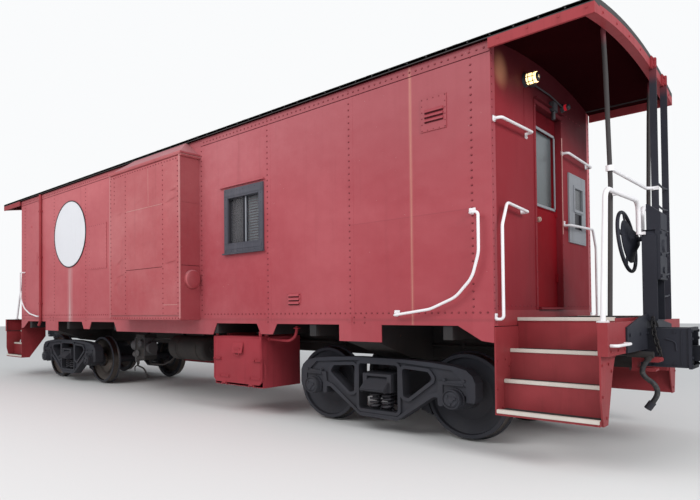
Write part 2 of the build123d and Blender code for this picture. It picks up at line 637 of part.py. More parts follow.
# Window frames and panes
with BuildPart() as side_window:
    with BuildSketch(Plane.XZ.offset(BODY_WIDE - WALL)):
        with Locations((WINDOW_MID, WINDOW_LOW + WINDOW_TALL / 2)):
            Rectangle(WINDOW_WIDE - 40 - 2 * SEAT, WINDOW_TALL - 40 - 2 * SEAT)
        with Locations((WINDOW_MID, PANE_LOW + PANE_TALL / 2)):
            Rectangle(PANE_WIDE, PANE_TALL, mode=Mode.SUBTRACT)
    extrude(amount=WALL)
    with BuildSketch(Plane.XZ.offset(BODY_WIDE + SEAT)):
        with Locations((WINDOW_MID, WINDOW_LOW + WINDOW_TALL / 2)):
            Rectangle(WINDOW_WIDE, WINDOW_TALL)
        with Locations((WINDOW_MID, PANE_LOW + PANE_TALL / 2)):
            Rectangle(PANE_WIDE, PANE_TALL, mode=Mode.SUBTRACT)
    extrude(amount=24)
    with BuildSketch(Plane.XZ.offset(BODY_WIDE - 1)):
        with Locations((WINDOW_MID, WINDOW_LOW + WINDOW_TALL / 2)):
            Rectangle(WINDOW_WIDE - 44, WINDOW_TALL - 44)
        with Locations((WINDOW_MID, PANE_LOW + PANE_TALL / 2)):
            Rectangle(PANE_WIDE, PANE_TALL, mode=Mode.SUBTRACT)
    extrude(amount=6)
    with Locations((WINDOW_MID, -BODY_WIDE + 40, PANE_LOW + PANE_TALL / 2)):
        Box(34, 40, PANE_TALL + 4)
write(both_ways(side_window.part), "side_window_frames")

with BuildPart() as side_glass:
    for mid, wide in ((WINDOW_MID - PANE_WIDE / 4 - 8, PANE_WIDE / 2 - 18), (WINDOW_MID + PANE_WIDE / 4 + 8, PANE_WIDE / 2 - 18)):
        with Locations((mid, -BODY_WIDE + 40, PANE_LOW + PANE_TALL / 2)):
            Box(wide - 2 * SEAT, 6, PANE_TALL - 2 * SEAT)
write(both_ways(side_glass.part), "side_window_glass")

with BuildPart() as end_window:
    with BuildSketch(Plane.YZ.offset(BODY_HALF - WALL)):
        with Locations((END_WINDOW_MID, END_WINDOW_LOW + END_WINDOW_TALL / 2)):
            Rectangle(END_WINDOW_WIDE - 40 - 2 * SEAT, END_WINDOW_TALL - 40 - 2 * SEAT)
    extrude(amount=WALL + 4)
    with BuildSketch(Plane.YZ.offset(BODY_HALF + SEAT)):
        with Locations((END_WINDOW_MID, END_WINDOW_LOW + END_WINDOW_TALL / 2)):
            Rectangle(END_WINDOW_WIDE, END_WINDOW_TALL)
    extrude(amount=16)
    # the small pane's frame and the slot under it
    with BuildSketch(Plane.YZ.offset(BODY_HALF + 16)):
        with Locations((END_WINDOW_MID + 20, END_WINDOW_LOW + END_WINDOW_TALL - 270)):
            Rectangle(330, 300)
            Rectangle(270, 240, mode=Mode.SUBTRACT)
    extrude(amount=10)
    with BuildSketch(Plane.YZ.offset(BODY_HALF + 6)):
        with Locations((END_WINDOW_MID + 20, END_WINDOW_LOW + END_WINDOW_TALL - 270)):
            Rectangle(270, 240)
        with Locations((END_WINDOW_MID + 20, END_WINDOW_LOW + END_WINDOW_TALL - 520)):
            Rectangle(250, 180)
    extrude(amount=20, mode=Mode.SUBTRACT)
write(both_ways(end_window.part), "end_window_plates")


# End sills: a channel across the car, closed at its ends, with the air line's bracket under it
def end_sill():
    back = SILL_FACE - SILL_DEEP
    with BuildPart() as sill:
        with BuildSketch(Plane.XZ.offset(-SILL_HALF)):
            with BuildLine():
                Polyline((SILL_FACE, SILL_BOTTOM), (SILL_FACE, SILL_TOP), (back, SILL_TOP), (back, SILL_TOP - SILL_SHEET),
                         (SILL_FACE - SILL_SHEET, SILL_TOP - SILL_SHEET),
                         (SILL_FACE - SILL_SHEET, SILL_BOTTOM + SILL_SHEET), (back, SILL_BOTTOM + SILL_SHEET),
                         (back, SILL_BOTTOM), close=True)
            make_face()
        extrude(amount=2 * SILL_HALF)
        for side in (-1, 1):
            with Locations(((SILL_FACE + back) / 2, side * (SILL_HALF - SILL_SHEET / 2), (SILL_TOP + SILL_BOTTOM) / 2)):
                Box(SILL_DEEP, SILL_SHEET, SILL_TOP - SILL_BOTTOM)
        # the draft box's way through
        with Locations((SILL_FACE, 0, (DRAFT_BOX_HIGH + SEAT + SILL_BOTTOM - 200) / 2)):
            Box(4 * SILL_DEEP, 2 * (DRAFT_BOX_HALF + SEAT), DRAFT_BOX_HIGH + SEAT - SILL_BOTTOM + 200, mode=Mode.SUBTRACT)
        with BuildSketch(Plane.XZ.offset(250)):
            with Locations((5790, RAIL_TOP + 825)):
                RectangleRounded(290, 40, 18)
            with Locations((5800, RAIL_TOP + 738)):
                RectangleRounded(200, 30, 14)
            with Locations((5742, RAIL_TOP + 825)):
                Rectangle(40, 190)
        extrude(amount=125)
    return sill.part


# Draft boxes: the centre sill's ends, open at the mouth, with the carrier under the coupler's shank
def draft_box():
    back = SILL_FACE - SILL_DEEP + SEAT
    mid = (DRAFT_BOX_LOW + DRAFT_BOX_HIGH) / 2
    tall = DRAFT_BOX_HIGH - DRAFT_BOX_LOW
    with BuildPart() as box:
        with BuildSketch(Plane.YZ.offset(back)):
            with Locations((0, mid)):
                Rectangle(2 * DRAFT_BOX_HALF, tall)
        extrude(amount=DRAFT_BOX_FACE - back)
        # flange round the mouth and the strip along the foot
        with BuildSketch(Plane.YZ.offset(DRAFT_BOX_FACE - 10)):
            with Locations((0, mid)):
                RectangleRounded(2 * DRAFT_BOX_HALF + 24, tall + 20, 12)
        extrude(amount=22)
        with Locations(((SILL_FACE + 20 + DRAFT_BOX_FACE) / 2, 0, DRAFT_BOX_LOW + 7)):
            Box(DRAFT_BOX_FACE - SILL_FACE - 20, 2 * DRAFT_BOX_HALF + 16, 14)
        with BuildSketch(Plane.YZ.offset(back - 1)):
            with Locations((0, mid)):
                Rectangle(2 * (DRAFT_BOX_HALF - DRAFT_BOX_WALL), tall - 2 * DRAFT_BOX_WALL)
        extrude(amount=DRAFT_BOX_FACE - back + 60, mode=Mode.SUBTRACT)
        # the carrier
        low = DRAFT_BOX_LOW + DRAFT_BOX_WALL
        high = COUPLER_Z - SHANK_HIGH / 2 - SEAT
        with Locations((DRAFT_BOX_FACE - 60, 0, (low + high) / 2)):
            Box(90, 2 * (DRAFT_BOX_HALF - DRAFT_BOX_WALL), high - low)
    return box.part


# Couplers: shank, head with its guard arm and horn, and the knuckle on its pin
def coupler():
    back = COUPLER_FACE - 250
    with BuildPart() as head:
        with Locations(((5400 + back + 20) / 2, 0, COUPLER_Z)):
            Box(back + 20 - 5400, SHANK_WIDE, SHANK_HIGH)
        # the draft key that bears on the centre sill
        with Locations((5500, 0, COUPLER_Z)):
            Box(120, SILL_INNER - 2 * SEAT, 50)
        with BuildSketch(Plane.XY.offset(COUPLER_Z - HEAD_HALF)) as plan:
            with BuildLine():
                Polyline((back, -95), (COUPLER_FACE - 190, -175), (COUPLER_FACE - 60, -218), (COUPLER_FACE + 20, -225),
                         (COUPLER_FACE + 20, -180), (COUPLER_FACE - 90, -95), (COUPLER_FACE - 130, 20),
                         (COUPLER_FACE - 60, 90), (COUPLER_FACE - 60, 160), (COUPLER_FACE - 190, 170), (back, 95), close=True)
            make_face()
            fillet(plan.vertices(), 14)
        extrude(amount=2 * HEAD_HALF)
        chamfer(head.faces().sort_by(Axis.Z)[-1].edges(), 10)
        chamfer(head.faces().sort_by(Axis.Z)[0].edges(), 10)
        # the horn that strikes the draft box, and the lock's lug below
        with Locations((back + 26, 0, COUPLER_Z + HEAD_HALF + 16)):
            Box(44, 150, 50)
        with Locations((COUPLER_FACE - 170, 40, COUPLER_Z - HEAD_HALF - 22)):
            Box(70, 46, 50)
        with BuildSketch(Plane.XY.offset(COUPLER_Z - KNUCKLE_HALF - 5)):
            with Locations((KNUCKLE_X + 20, KNUCKLE_Y + 10)):
                Rectangle(190, 170)
        extrude(amount=2 * KNUCKLE_HALF + 10, mode=Mode.SUBTRACT)
        with BuildSketch(Plane.XY.offset(COUPLER_Z - HEAD_HALF + 10)):
            with Locations((KNUCKLE_X, KNUCKLE_Y)):
                Circle(KNUCKLE_PIN_R)
        extrude(amount=2 * HEAD_HALF + 6)
    return head.part


def knuckle():
    with BuildPart() as hook:
        with BuildSketch(Plane.XY.offset(COUPLER_Z - KNUCKLE_HALF)):
            with Locations((KNUCKLE_X, KNUCKLE_Y)):
                Circle(48)
            with BuildLine():
                Polyline((KNUCKLE_X - 20, KNUCKLE_Y - 40), (KNUCKLE_X + 40, KNUCKLE_Y - 60), (COUPLER_FACE - 60, 20),
                         (COUPLER_FACE - 60, -50), (COUPLER_FACE - 10, -50), (COUPLER_FACE, -30), (COUPLER_FACE, 80),
                         (KNUCKLE_X + 60, KNUCKLE_Y + 46), (KNUCKLE_X, KNUCKLE_Y + 46), close=True)
            make_face()
            with Locations((KNUCKLE_X, KNUCKLE_Y)):
                Circle(KNUCKLE_PIN_R + SEAT, mode=Mode.SUBTRACT)
        extrude(amount=2 * KNUCKLE_HALF)
    return hook.part


# Hand brakes: a column open at the front, its gear cover and hood, its foot plate, and the wheel on its shaft
def shaft_plane(along):
    """A plane square to the wheel's shaft, at a distance from the wheel's middle."""
    tilt = math.radians(BRAKE_TILT)
    lean = (math.cos(tilt), 0, math.sin(tilt))
    return Plane(origin=(BRAKE_WHEEL_X + along * lean[0], 0, BRAKE_Z + along * lean[2]), z_dir=lean)


def brake_column():
    foot = SILL_TOP + SEAT
    with BuildPart() as column:
        for start, inset, shelf in ((COLUMN_BACK, 0, 0), (COLUMN_BACK + 10, 10, 10)):
            with BuildSketch(Plane.YZ.offset(start)):
                half = COLUMN_HALF - inset
                top = COLUMN_TOP - inset
                with BuildLine():
                    Polyline((-half, foot + shelf), (half, foot + shelf), (half, top - 60), (half - 42, top),
                             (42 - half, top), (-half, top - 60), close=True)
                make_face()
            extrude(amount=COLUMN_FRONT - start + inset, mode=Mode.SUBTRACT if inset else Mode.ADD)
        # gear cover on the front, hood on top, and the rod inside
        with Locations(((COLUMN_FRONT + 7), 0, RAIL_TOP + 1755)):
            Box(36, 2 * COLUMN_HALF - 20, 450)
        with BuildSketch(Plane.XZ.offset(-130)):
            with BuildLine():
                Polyline((5800, COLUMN_TOP - 5), (5800, RAIL_TOP + 2215), (5812, RAIL_TOP + 2215), (5910, RAIL_TOP + 2130),
                         (5910, COLUMN_TOP - 5), close=True)
            make_face()
        extrude(amount=260)
        with BuildSketch(Plane.XY.offset(foot)):
            with Locations((COLUMN_BACK + 65, 0)):
                Circle(12)
        extrude(amount=RAIL_TOP + 1560 - foot)
        # foot plate on the end sill's face, cut out round the draft box
        with BuildSketch(Plane.YZ.offset(SILL_FACE + SEAT)):
            with BuildLine():
                Polyline((-PLATFORM_HALF, SILL_BOTTOM + 2), (-PLATFORM_HALF, RAIL_TOP + 1115), (-390, RAIL_TOP + 1200),
                         (-140, RAIL_TOP + 1225), (140, RAIL_TOP + 1225), (320, RAIL_TOP + 1200), (420, SILL_TOP),
                         (PLATFORM_HALF, RAIL_TOP + 1115), (PLATFORM_HALF, SILL_BOTTOM + 2), close=True)
            make_face()
            with Locations((0, DRAFT_BOX_HIGH + SEAT - 200)):
                Rectangle(2 * (DRAFT_BOX_HALF + SEAT), 400, mode=Mode.SUBTRACT)
        extrude(amount=14)
        with BuildSketch(shaft_plane(14)):
            Circle(SHAFT_R)
        extrude(amount=146)
    return column.part


def brake_wheel():
    with BuildPart() as wheel:
        with BuildSketch(Plane.XZ):
            with Locations((0, BRAKE_WHEEL_R)):
                Circle(BRAKE_RIM_R)
        revolve(axis=Axis.X)
        # the dished middle and its hub
        with BuildSketch(Plane.XZ):
            with BuildLine():
                Polyline((4, 205), (14, 205), (52, 120), (92, 62), (92, SHAFT_R + SEAT), (11, SHAFT_R + SEAT), (11, 44), (84, 50),
                         (44, 116), close=True)
            make_face()
        revolve(axis=Axis.X)
        with BuildSketch(Plane.YZ.offset(2)):
            with PolarLocations(236, 5, start_angle=90):
                Rectangle(84, 40)
        extrude(amount=10)
        with BuildSketch(Plane.YZ.offset(-10)):
            Circle(44)
        extrude(amount=22)
    return wheel.part.rotate(Axis.Y, -BRAKE_TILT).translate((BRAKE_WHEEL_X, 0, BRAKE_Z))


for end_name, way in (("near", 1), ("far", -1)):
    write(turned(end_sill(), way), f"end_sill_{end_name}")
    write(turned(draft_box(), way), f"draft_box_{end_name}")
    write(turned(coupler(), way), f"coupler_{end_name}")
    write(turned(knuckle(), way), f"knuckle_{end_name}")
    write(turned(brake_wheel(), way), f"brake_wheel_{end_name}")
write(both_ways(brake_column()), "brake_columns")


# Steps: two wells at each end, sheet panels with treads and risers between them
def step_sheet(side, outline, inner_x, outer_x):
    """One sheet of the steps: an outline across the car, carried along it."""
    with BuildPart() as sheet:
        with BuildSketch(Plane.YZ.offset(inner_x)):
            with BuildLine():
                Polyline(*[(side * y, z) for y, z in outline], close=True)
            make_face()
        extrude(amount=outer_x - inner_x)
    return sheet.part.solid()


def steps(side):
    wall = BODY_HALF + SEAT
    inner = wall + STEP_PANEL + SEAT
    panel_top = SILL_BOTTOM - SEAT
    inner_outline = [(y, RAIL_TOP + z) for y, z in INNER_PANEL]
    outer_outline = [(SILL_HALF, panel_top), *[(y, RAIL_TOP + z) for y, z in OUTER_PANEL], (OUTER_PANEL_TOP_Y, panel_top)]
    sheets = [step_sheet(side, inner_outline, wall, wall + STEP_PANEL),
              step_sheet(side, outer_outline, OUTER_PANEL_X - STEP_PANEL, OUTER_PANEL_X)]
    for place, (nose_y, nose_z) in enumerate(STEP_NOSES):
        top = RAIL_TOP + nose_z
        if place + 1 == len(STEP_NOSES):
            outer = SILL_FACE - SILL_DEEP - SEAT
            riser_y = PLATFORM_HALF + SEAT
            riser_top = DECK_TOP - TREAD_DEEP
        else:
            outer = OUTER_PANEL_X - STEP_PANEL - SEAT
            next_y, next_z = STEP_NOSES[place + 1]
            riser_y = next_y - RISER_SHEET
            riser_top = RAIL_TOP + next_z - TREAD_DEEP - SEAT
        tread = [(nose_y, top - TREAD_DEEP), (nose_y, top), (riser_y, top), (riser_y, top - TREAD_DEEP)]
        riser_face = riser_y + RISER_SHEET
        riser = [(riser_face, top + SEAT), (riser_face, riser_top), (riser_y, riser_top), (riser_y, top + SEAT)]
        sheets.append(step_sheet(side, tread, inner, outer))
        sheets.append(step_sheet(side, riser, inner, outer))
    return sheets


pair_of_steps = Compound(children=[*steps(-1), *steps(1)])
write(pair_of_steps, "steps_near")
write(pair_of_steps.rotate(Axis.Z, 180), "steps_far")


def pipe(points, radii, pipe_r):
    """A round pipe along straight runs joined by arcs."""
    with BuildPart() as tube:
        with BuildLine() as route:
            FilletPolyline(*points, radius=radii)
        with BuildSketch(Plane(origin=route.line @ 0, z_dir=route.line % 0)):
            Circle(pipe_r)
        sweep()
    return tube.part


# Posts from the deck to the end fascia, bowed inwards
POST_TOP_Y = 840
high = roof_height(POST_TOP_Y, ROOF_THICK + 32)
posts = []
for side in (-1, 1):
    posts.append(pipe([(POST_X, side * POST_FOOT_Y, DECK_TOP + 1.8), (POST_X, side * POST_WAIST_Y, RAIL_TOP + 2345),
                       (POST_X, side * 775, RAIL_TOP + 3240), (POST_X, side * POST_TOP_Y, high),
                       (ROOF_HALF - FASCIA_THICK - SEAT, side * POST_TOP_Y, high)], [900, 900, 45], POST_R))
write(both_ways(Compound(children=[s for p in posts for s in p.solids()])), "platform_posts")

# Railings on the end sills, fixed to the hand brake's column and clamped to the posts
RAILING_END_X = {-1: 5750, 1: RAILING_X}
RAILING_END_Y = {-1: 176, 1: 190}
railings = []
for side in (-1, 1):
    end_x = RAILING_END_X[side]
    end_y = RAILING_END_Y[side]
    bent = pipe([(RAILING_X, side * RAILING_FOOT_Y, SILL_TOP + 2.7), (RAILING_X, side * 1030, RAILING_TOP),
                 (end_x, side * end_y, RAILING_TOP), (end_x, side * (end_y - 3), RAIL_TOP + 1940)], [95, 95], RAILING_R)
    with BuildPart() as lugs:
        with Locations(((end_x + 5800) / 2, side * (COLUMN_HALF + SEAT + end_y) / 2, RAIL_TOP + 1950)):
            Box(5800 - end_x, end_y - COLUMN_HALF - SEAT, 26)
        near_post = RAILING_X + (end_x - RAILING_X) * 0.38 - 10
        with Locations(((POST_X + POST_R + SEAT + near_post) / 2, side * 698, RAILING_TOP)):
            Box(near_post - POST_X - POST_R - SEAT, 36, 26)
    railings.append(bent + lugs.part)
# the bar from the right post to the ladder, with a ring on the post and a flattened end on the stile
POST_LEAN = Vector(0, POST_WAIST_Y - 775, 895).normalized()
bar = pipe([(POST_X, -672, BAR_Z), (5702, 392, BAR_Z - 18), (LADDER_X + 20, 424, BAR_Z - 19)], [28], BAR_R)
with BuildPart() as bar_ends:
    with BuildSketch(Plane(origin=(POST_X, -POST_WAIST_Y - 12, BAR_Z), z_dir=POST_LEAN).offset(-24)):
        Circle(POST_R + 13)
        Circle(POST_R + SEAT + 0.3, mode=Mode.SUBTRACT)
    extrude(amount=48)
    with Locations((LADDER_X + STILE_WIDE / 2 + 2, LADDER_YS[0] - STILE_THICK / 2 - SEAT - 7, BAR_Z - 19)):
        Box(STILE_WIDE - 4, 14, 36)
railings.append(bar + bar_ends.part)
write(both_ways(Compound(children=[s for r in railings for s in r.solids()])), "platform_railings")

# Ladders to the roof: two flat stiles, notched under the end fascia, and rungs that sag
with BuildPart() as ladder:
    for y in LADDER_YS:
        notch = FASCIA_LOW + roof_height(y + STILE_THICK) - ROOF_EAVE - 2
        with BuildSketch(Plane.XZ.offset(-y - STILE_THICK / 2)):
            with BuildLine():
                Polyline((LADDER_X, SILL_TOP), (LADDER_X, notch), (ROOF_HALF + SEAT, notch), (ROOF_HALF + SEAT, RAIL_TOP + 3670),
                         (LADDER_X + STILE_WIDE, RAIL_TOP + 3670), (LADDER_X + STILE_WIDE, SILL_TOP + 12),
                         (SILL_FACE - SEAT, SILL_TOP), close=True)
            make_face()
        extrude(amount=STILE_THICK)
    for step in range(RUNGS):
        rung_x = LADDER_X + STILE_WIDE - 14
        rung_z = RUNG_LOW + step * RUNG_PITCH
        with BuildLine() as rung:
            ThreePointArc((rung_x, LADDER_YS[0], rung_z), (rung_x, sum(LADDER_YS) / 2, rung_z - RUNG_SAG),
                          (rung_x, LADDER_YS[1], rung_z))
        with BuildSketch(Plane(origin=rung.line @ 0, z_dir=rung.line % 0)):
            Circle(9)
        sweep()
write(both_ways(ladder.part), "roof_ladders")

# Grab irons round the body's corners, bent like a J
GRAB_OUT = BODY_WIDE + 70
side_grabs = []
for side in (-1, 1):
    for way in (-1, 1):
        y = BODY_WIDE + SEAT
        foot = 4040 if side * way == 1 else 3985
        route = [(4756, y, 2145), (4756, GRAB_OUT, 2145), (4836, GRAB_OUT, 2145), (4836, GRAB_OUT, 1790),
                 (4775, GRAB_OUT, 1575), (4620, GRAB_OUT, 1408), (4370, GRAB_OUT, 1304), (foot, GRAB_OUT, 1250), (foot, y, 1250)]
        side_grabs.append(pipe([(way * px, side * py, pz) for px, py, pz in route],
                               [30, 30, 300, 260, 260, 300, 30], GRAB_R))
write(Compound(children=[s for g in side_grabs for s in g.solids()]), "side_grab_irons")

# Grab irons on the end walls, and the handholds on the end sills
# Each side's: inner and outer end of the upper one, inner end of the lower one
END_GRABS = {-1: (600, 1325, 740), 1: (400, 1225, 440)}
end_grabs = []
for side, (upper_in, upper_out, lower_in) in END_GRABS.items():
    start = BODY_HALF + SEAT
    out = BODY_HALF + 68
    end_grabs.append(pipe([(start, side * upper_out, 2955), (out, side * upper_out, 2955), (out, side * upper_in, 2975),
                           (start, side * upper_in, 2975)], 32, GRAB_R))
    end_grabs.append(pipe([(start, side * lower_in, 2200), (out, side * lower_in, 2200), (out, side * 1230, 2228),
                           (out, side * 1338, 2020), (out, side * 1338, 1212), (start, side * 1338, 1212)],
                          [32, 60, 90, 32], GRAB_R))
    face = SILL_FACE + SEAT
    stand = SILL_FACE + 52
    end_grabs.append(pipe([(face, side * 1330, 1012), (stand, side * 1330, 1012), (stand, side * 930, 1012),
                           (face, side * 930, 1012)], 25, GRAB_R - 1))
write(both_ways(Compound(children=[s for g in end_grabs for s in g.solids()])), "end_grab_irons")

# Lamps over the end doors: a caged one and a small marker
with BuildPart() as lamps:
    for y, z, base_r, glass_r, length in ((-600, RAIL_TOP + 3470, 64, 50, 115), (430, RAIL_TOP + 3450, 44, 32, 70)):
        with BuildSketch(Plane.YZ.offset(BODY_HALF + SEAT)):
            with Locations((y, z)):
                Circle(base_r)
        extrude(amount=20)
        with BuildSketch(Plane.YZ.offset(BODY_HALF + SEAT + 18)):
            with Locations((y, z)):
                Circle(glass_r)
        extrude(amount=length)
        rims = lamps.edges().filter_by(GeomType.CIRCLE).filter_by(lambda e: abs(e.arc_center.Y - y) < 1)
        rim = rims.sort_by(Axis.X)[-1]
        fillet(rim, glass_r * 0.7)
write(both_ways(lamps.part), "platform_lamps")

# Tool boxes under each side with a drop door
with BuildPart() as tool_box:
    with BuildSketch(Plane.YZ.offset(BOX_FROM)):
        with BuildLine():
            Polyline((-BOX_OUT, BOX_LOW), (-BOX_IN, BOX_LOW), (-BOX_IN, BOX_TOP), (-BOX_OUT, BOX_TOP), close=True)
        make_face()
    extrude(amount=BOX_TO - BOX_FROM)
    with Locations(((BOX_FROM + BOX_TO) / 2, -(BOX_OUT + BOX_IN) / 2 - BOX_WALL, (BOX_LOW + BOX_TOP) / 2)):
        Box(BOX_TO - BOX_FROM - 2 * BOX_WALL, BOX_OUT - BOX_IN, BOX_TOP - BOX_LOW - 2 * BOX_WALL, mode=Mode.SUBTRACT)
    for x, top in ((BEARER_XS[0], BEARER_LOW - SEAT), (BOX_TO - 90, SILL_UNDER - SEAT)):
        with Locations((x, -900, (BOX_TOP + top) / 2)):
            Box(60, 500, top - BOX_TOP)
    for x in BOX_HINGE_XS:
        for side in (-1, 1):
            with Locations((x + side * 42, -BOX_OUT - 3, BOX_LOW + 15)):
                Box(14, 40, 30)
        with BuildSketch(Plane.YZ.offset(x - 42)):
            with Locations((-BOX_HINGE_Y, BOX_HINGE_Z)):
                Circle(5)
        extrude(amount=84)
write(both_ways(tool_box.part), "tool_boxes")


def tool_box_door():
    with BuildPart() as door:
        with BuildSketch(Plane.XZ.offset(BOX_OUT + 6)) as sheet:
            with Locations(((BOX_FROM + BOX_TO) / 2, (BOX_LOW + BOX_TOP) / 2 + 15)):
                Rectangle(BOX_TO - BOX_FROM, BOX_TOP - BOX_LOW - 40)
            chamfer(sheet.vertices().sort_by(Axis.Y)[:2], 45)
        extrude(amount=24)
        for x in BOX_HINGE_XS:
            with BuildSketch(Plane.YZ.offset(x - 30)):
                with Locations((-BOX_HINGE_Y, BOX_HINGE_Z)):
                    Circle(12)
                with Locations((-BOX_HINGE_Y, BOX_HINGE_Z + 6)):
                    Rectangle(24, 12)
                with Locations((-BOX_HINGE_Y, BOX_HINGE_Z)):
                    Circle(5 + SEAT, mode=Mode.SUBTRACT)
            extrude(amount=60)
    return door.part


write(tool_box_door(), "tool_box_door_right")
write(tool_box_door().rotate(Axis.Z, 180), "tool_box_door_left")

# Air reservoir, brake cylinder and control valve under the floor
with BuildPart() as reservoir:
    with BuildSketch(Plane.YZ.offset(-600)):
        with Locations((-640, RAIL_TOP + 720)):
            Circle(190)
    extrude(amount=900)
    fillet(reservoir.edges().filter_by(GeomType.CIRCLE), 60)
    for x in (-400, 100):
        with Locations((x, -640, (RAIL_TOP + 850 + SILL_UNDER - SEAT) / 2)):
            Box(50, 60, SILL_UNDER - SEAT - RAIL_TOP - 850)
write(reservoir.part, "air_reservoir")

with BuildPart() as valve:
    with Locations((-1290, -760, RAIL_TOP + 700)):
        Box(260, 240, 420)
    with Locations((-BEARER_XS[0], -760, (RAIL_TOP + 900 + BEARER_LOW - SEAT) / 2)):
        Box(60, 60, BEARER_LOW - SEAT - RAIL_TOP - 900)
write(valve.part, "brake_valve")

# Air line: an angle cock at each end, and the hose that hangs at the near one
COCK_Z = SILL_BOTTOM - 33


def hose_radii(route):
    """Each bend's radius: 0.45 of the shorter run over the tangent of half the turn."""
    radii = []
    for before, here, after in zip(route, route[1:], route[2:]):
        first = Vector(*here) - Vector(*before)
        second = Vector(*after) - Vector(*here)
        turn = math.radians(first.get_angle(second))
        radii.append(0.45 * min(first.length, second.length) / math.tan(turn / 2))
    return radii


hose_points = [(x, HOSE_Y, z) for x, z in HOSE_ROUTE]
radii = hose_radii(hose_points)
print("hose bend radii", [round(r) for r in radii])
write(pipe(hose_points, radii, HOSE_R), "air_hose")

start = Vector(*hose_points[0])
lead = (start - Vector(*hose_points[1])).normalized()
end = Vector(*hose_points[-1])
tail = (end - Vector(*hose_points[-2])).normalized()
with BuildPart() as hose_coupling:
    with BuildSketch(Plane(origin=end + tail * SEAT, z_dir=tail)):
        Circle(30)
    extrude(amount=70)
write(hose_coupling.part, "hose_coupling")

with BuildPart() as cock:
    with BuildSketch(Plane.YZ.offset(5700)):
        with Locations((HOSE_Y, COCK_Z)):
            Circle(28)
    extrude(amount=195)
    with BuildSketch(Plane(origin=start + lead * SEAT, z_dir=lead)):
        Circle(26)
    extrude(amount=46)
    with BuildSketch(Plane(origin=start + lead * SEAT, z_dir=lead)):
        Circle(COCK_BORE_R)
    extrude(amount=COCK_BORE_DEEP, mode=Mode.SUBTRACT)
    with Locations((5755, HOSE_Y, (COCK_Z + SILL_BOTTOM) / 2)):
        Box(56, 50, SILL_BOTTOM - COCK_Z - 2 * SEAT)
write(both_ways(cock.part), "angle_cocks")

# Pipe down the side near the far end
with BuildPart() as clamps:
    for z in (1500, 3300):
        with Locations((PIPE_X, -BODY_WIDE - SEAT - 12, z)):
            Box(60, 24, 30)
down_pipe = pipe([(PIPE_X, -PIPE_OUT, 3520), (PIPE_X, -PIPE_OUT, 1140), (PIPE_X - 70, -PIPE_OUT, 1085)], 60, PIPE_R)
write(Compound(children=[(clamps.part + down_pipe).solids()[0]]), "side_pipe")
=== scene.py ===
# %% [markdown]
# The caboose arrives as exact solids that are already in place, in metres, with +X towards the near end, +Y
# to the left side and +Z up. Nothing here moves them. This lesson gives them finishes, and adds what is too
# small or too soft for the exact parts: rivets, weld seams, louvres, coil springs, chains, the air hose and
# the wear of the years.

# %% Load the frame
import math

import bmesh
import bpy
from mathutils import Matrix, Vector


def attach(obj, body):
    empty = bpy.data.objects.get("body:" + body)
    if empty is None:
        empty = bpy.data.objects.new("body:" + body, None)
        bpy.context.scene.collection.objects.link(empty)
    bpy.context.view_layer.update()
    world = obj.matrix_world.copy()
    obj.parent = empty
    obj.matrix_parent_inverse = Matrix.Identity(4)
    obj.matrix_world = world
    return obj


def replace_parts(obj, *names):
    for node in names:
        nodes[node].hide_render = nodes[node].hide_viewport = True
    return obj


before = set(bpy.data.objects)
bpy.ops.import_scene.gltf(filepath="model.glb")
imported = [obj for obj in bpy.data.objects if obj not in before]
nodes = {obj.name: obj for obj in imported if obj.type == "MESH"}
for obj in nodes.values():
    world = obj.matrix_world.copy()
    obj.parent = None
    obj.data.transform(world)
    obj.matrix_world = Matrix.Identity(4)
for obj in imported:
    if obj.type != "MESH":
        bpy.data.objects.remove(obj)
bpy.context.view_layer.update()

# %% [markdown]
# A few sizes of the exact parts are used all through the lesson: the rail's top, the wheels, the trucks,
# and the planes of the side sheet, the bay's outer sheet and the end wall. They are named once, so that a
# rivet row or a bracket says which plane it sits on.

# %% Sizes shared with the exact parts
RAIL = 0.025
WHEEL_RADIUS = 0.419
WHEEL_Z = RAIL + WHEEL_RADIUS
TRUCK_X = 3.536
HALF_WHEELBASE = 0.866
AXLES = {"axle_1": TRUCK_X + HALF_WHEELBASE, "axle_2": TRUCK_X - HALF_WHEELBASE,
         "axle_3": -TRUCK_X + HALF_WHEELBASE, "axle_4": -TRUCK_X - HALF_WHEELBASE}
SIDE = -1.380
BAY = -1.700
END = 4.930
OUT = Vector((0, -1, 0))
FRONT = Vector((1, 0, 0))
UP = Vector((0, 0, 1))
print("axles at", [round(x, 3) for x in AXLES.values()])

# %% [markdown]
# The picture was taken near a corner of the car, standing about 1.3 m over the rails, with a wide lens. The
# camera stands at that point. The lens axis lies left of and below the picture's middle. A camera could be
# turned to bring the car back into the frame, but that would tilt its upright edges, so a small shift of
# the lens does it instead.

# %% Camera
WIDE, TALL = 700, 500
EYE = Vector((7.0263, -6.2693, 1.2555 + RAIL))
HEADING = math.radians(44.8976)
LIFT = math.radians(1.0716)
ROLL = math.radians(-0.4417)
FOCAL_PIXELS = 575.96
AXIS_PIXEL = (262.04, 302.27)
FAR_LIMIT = 200

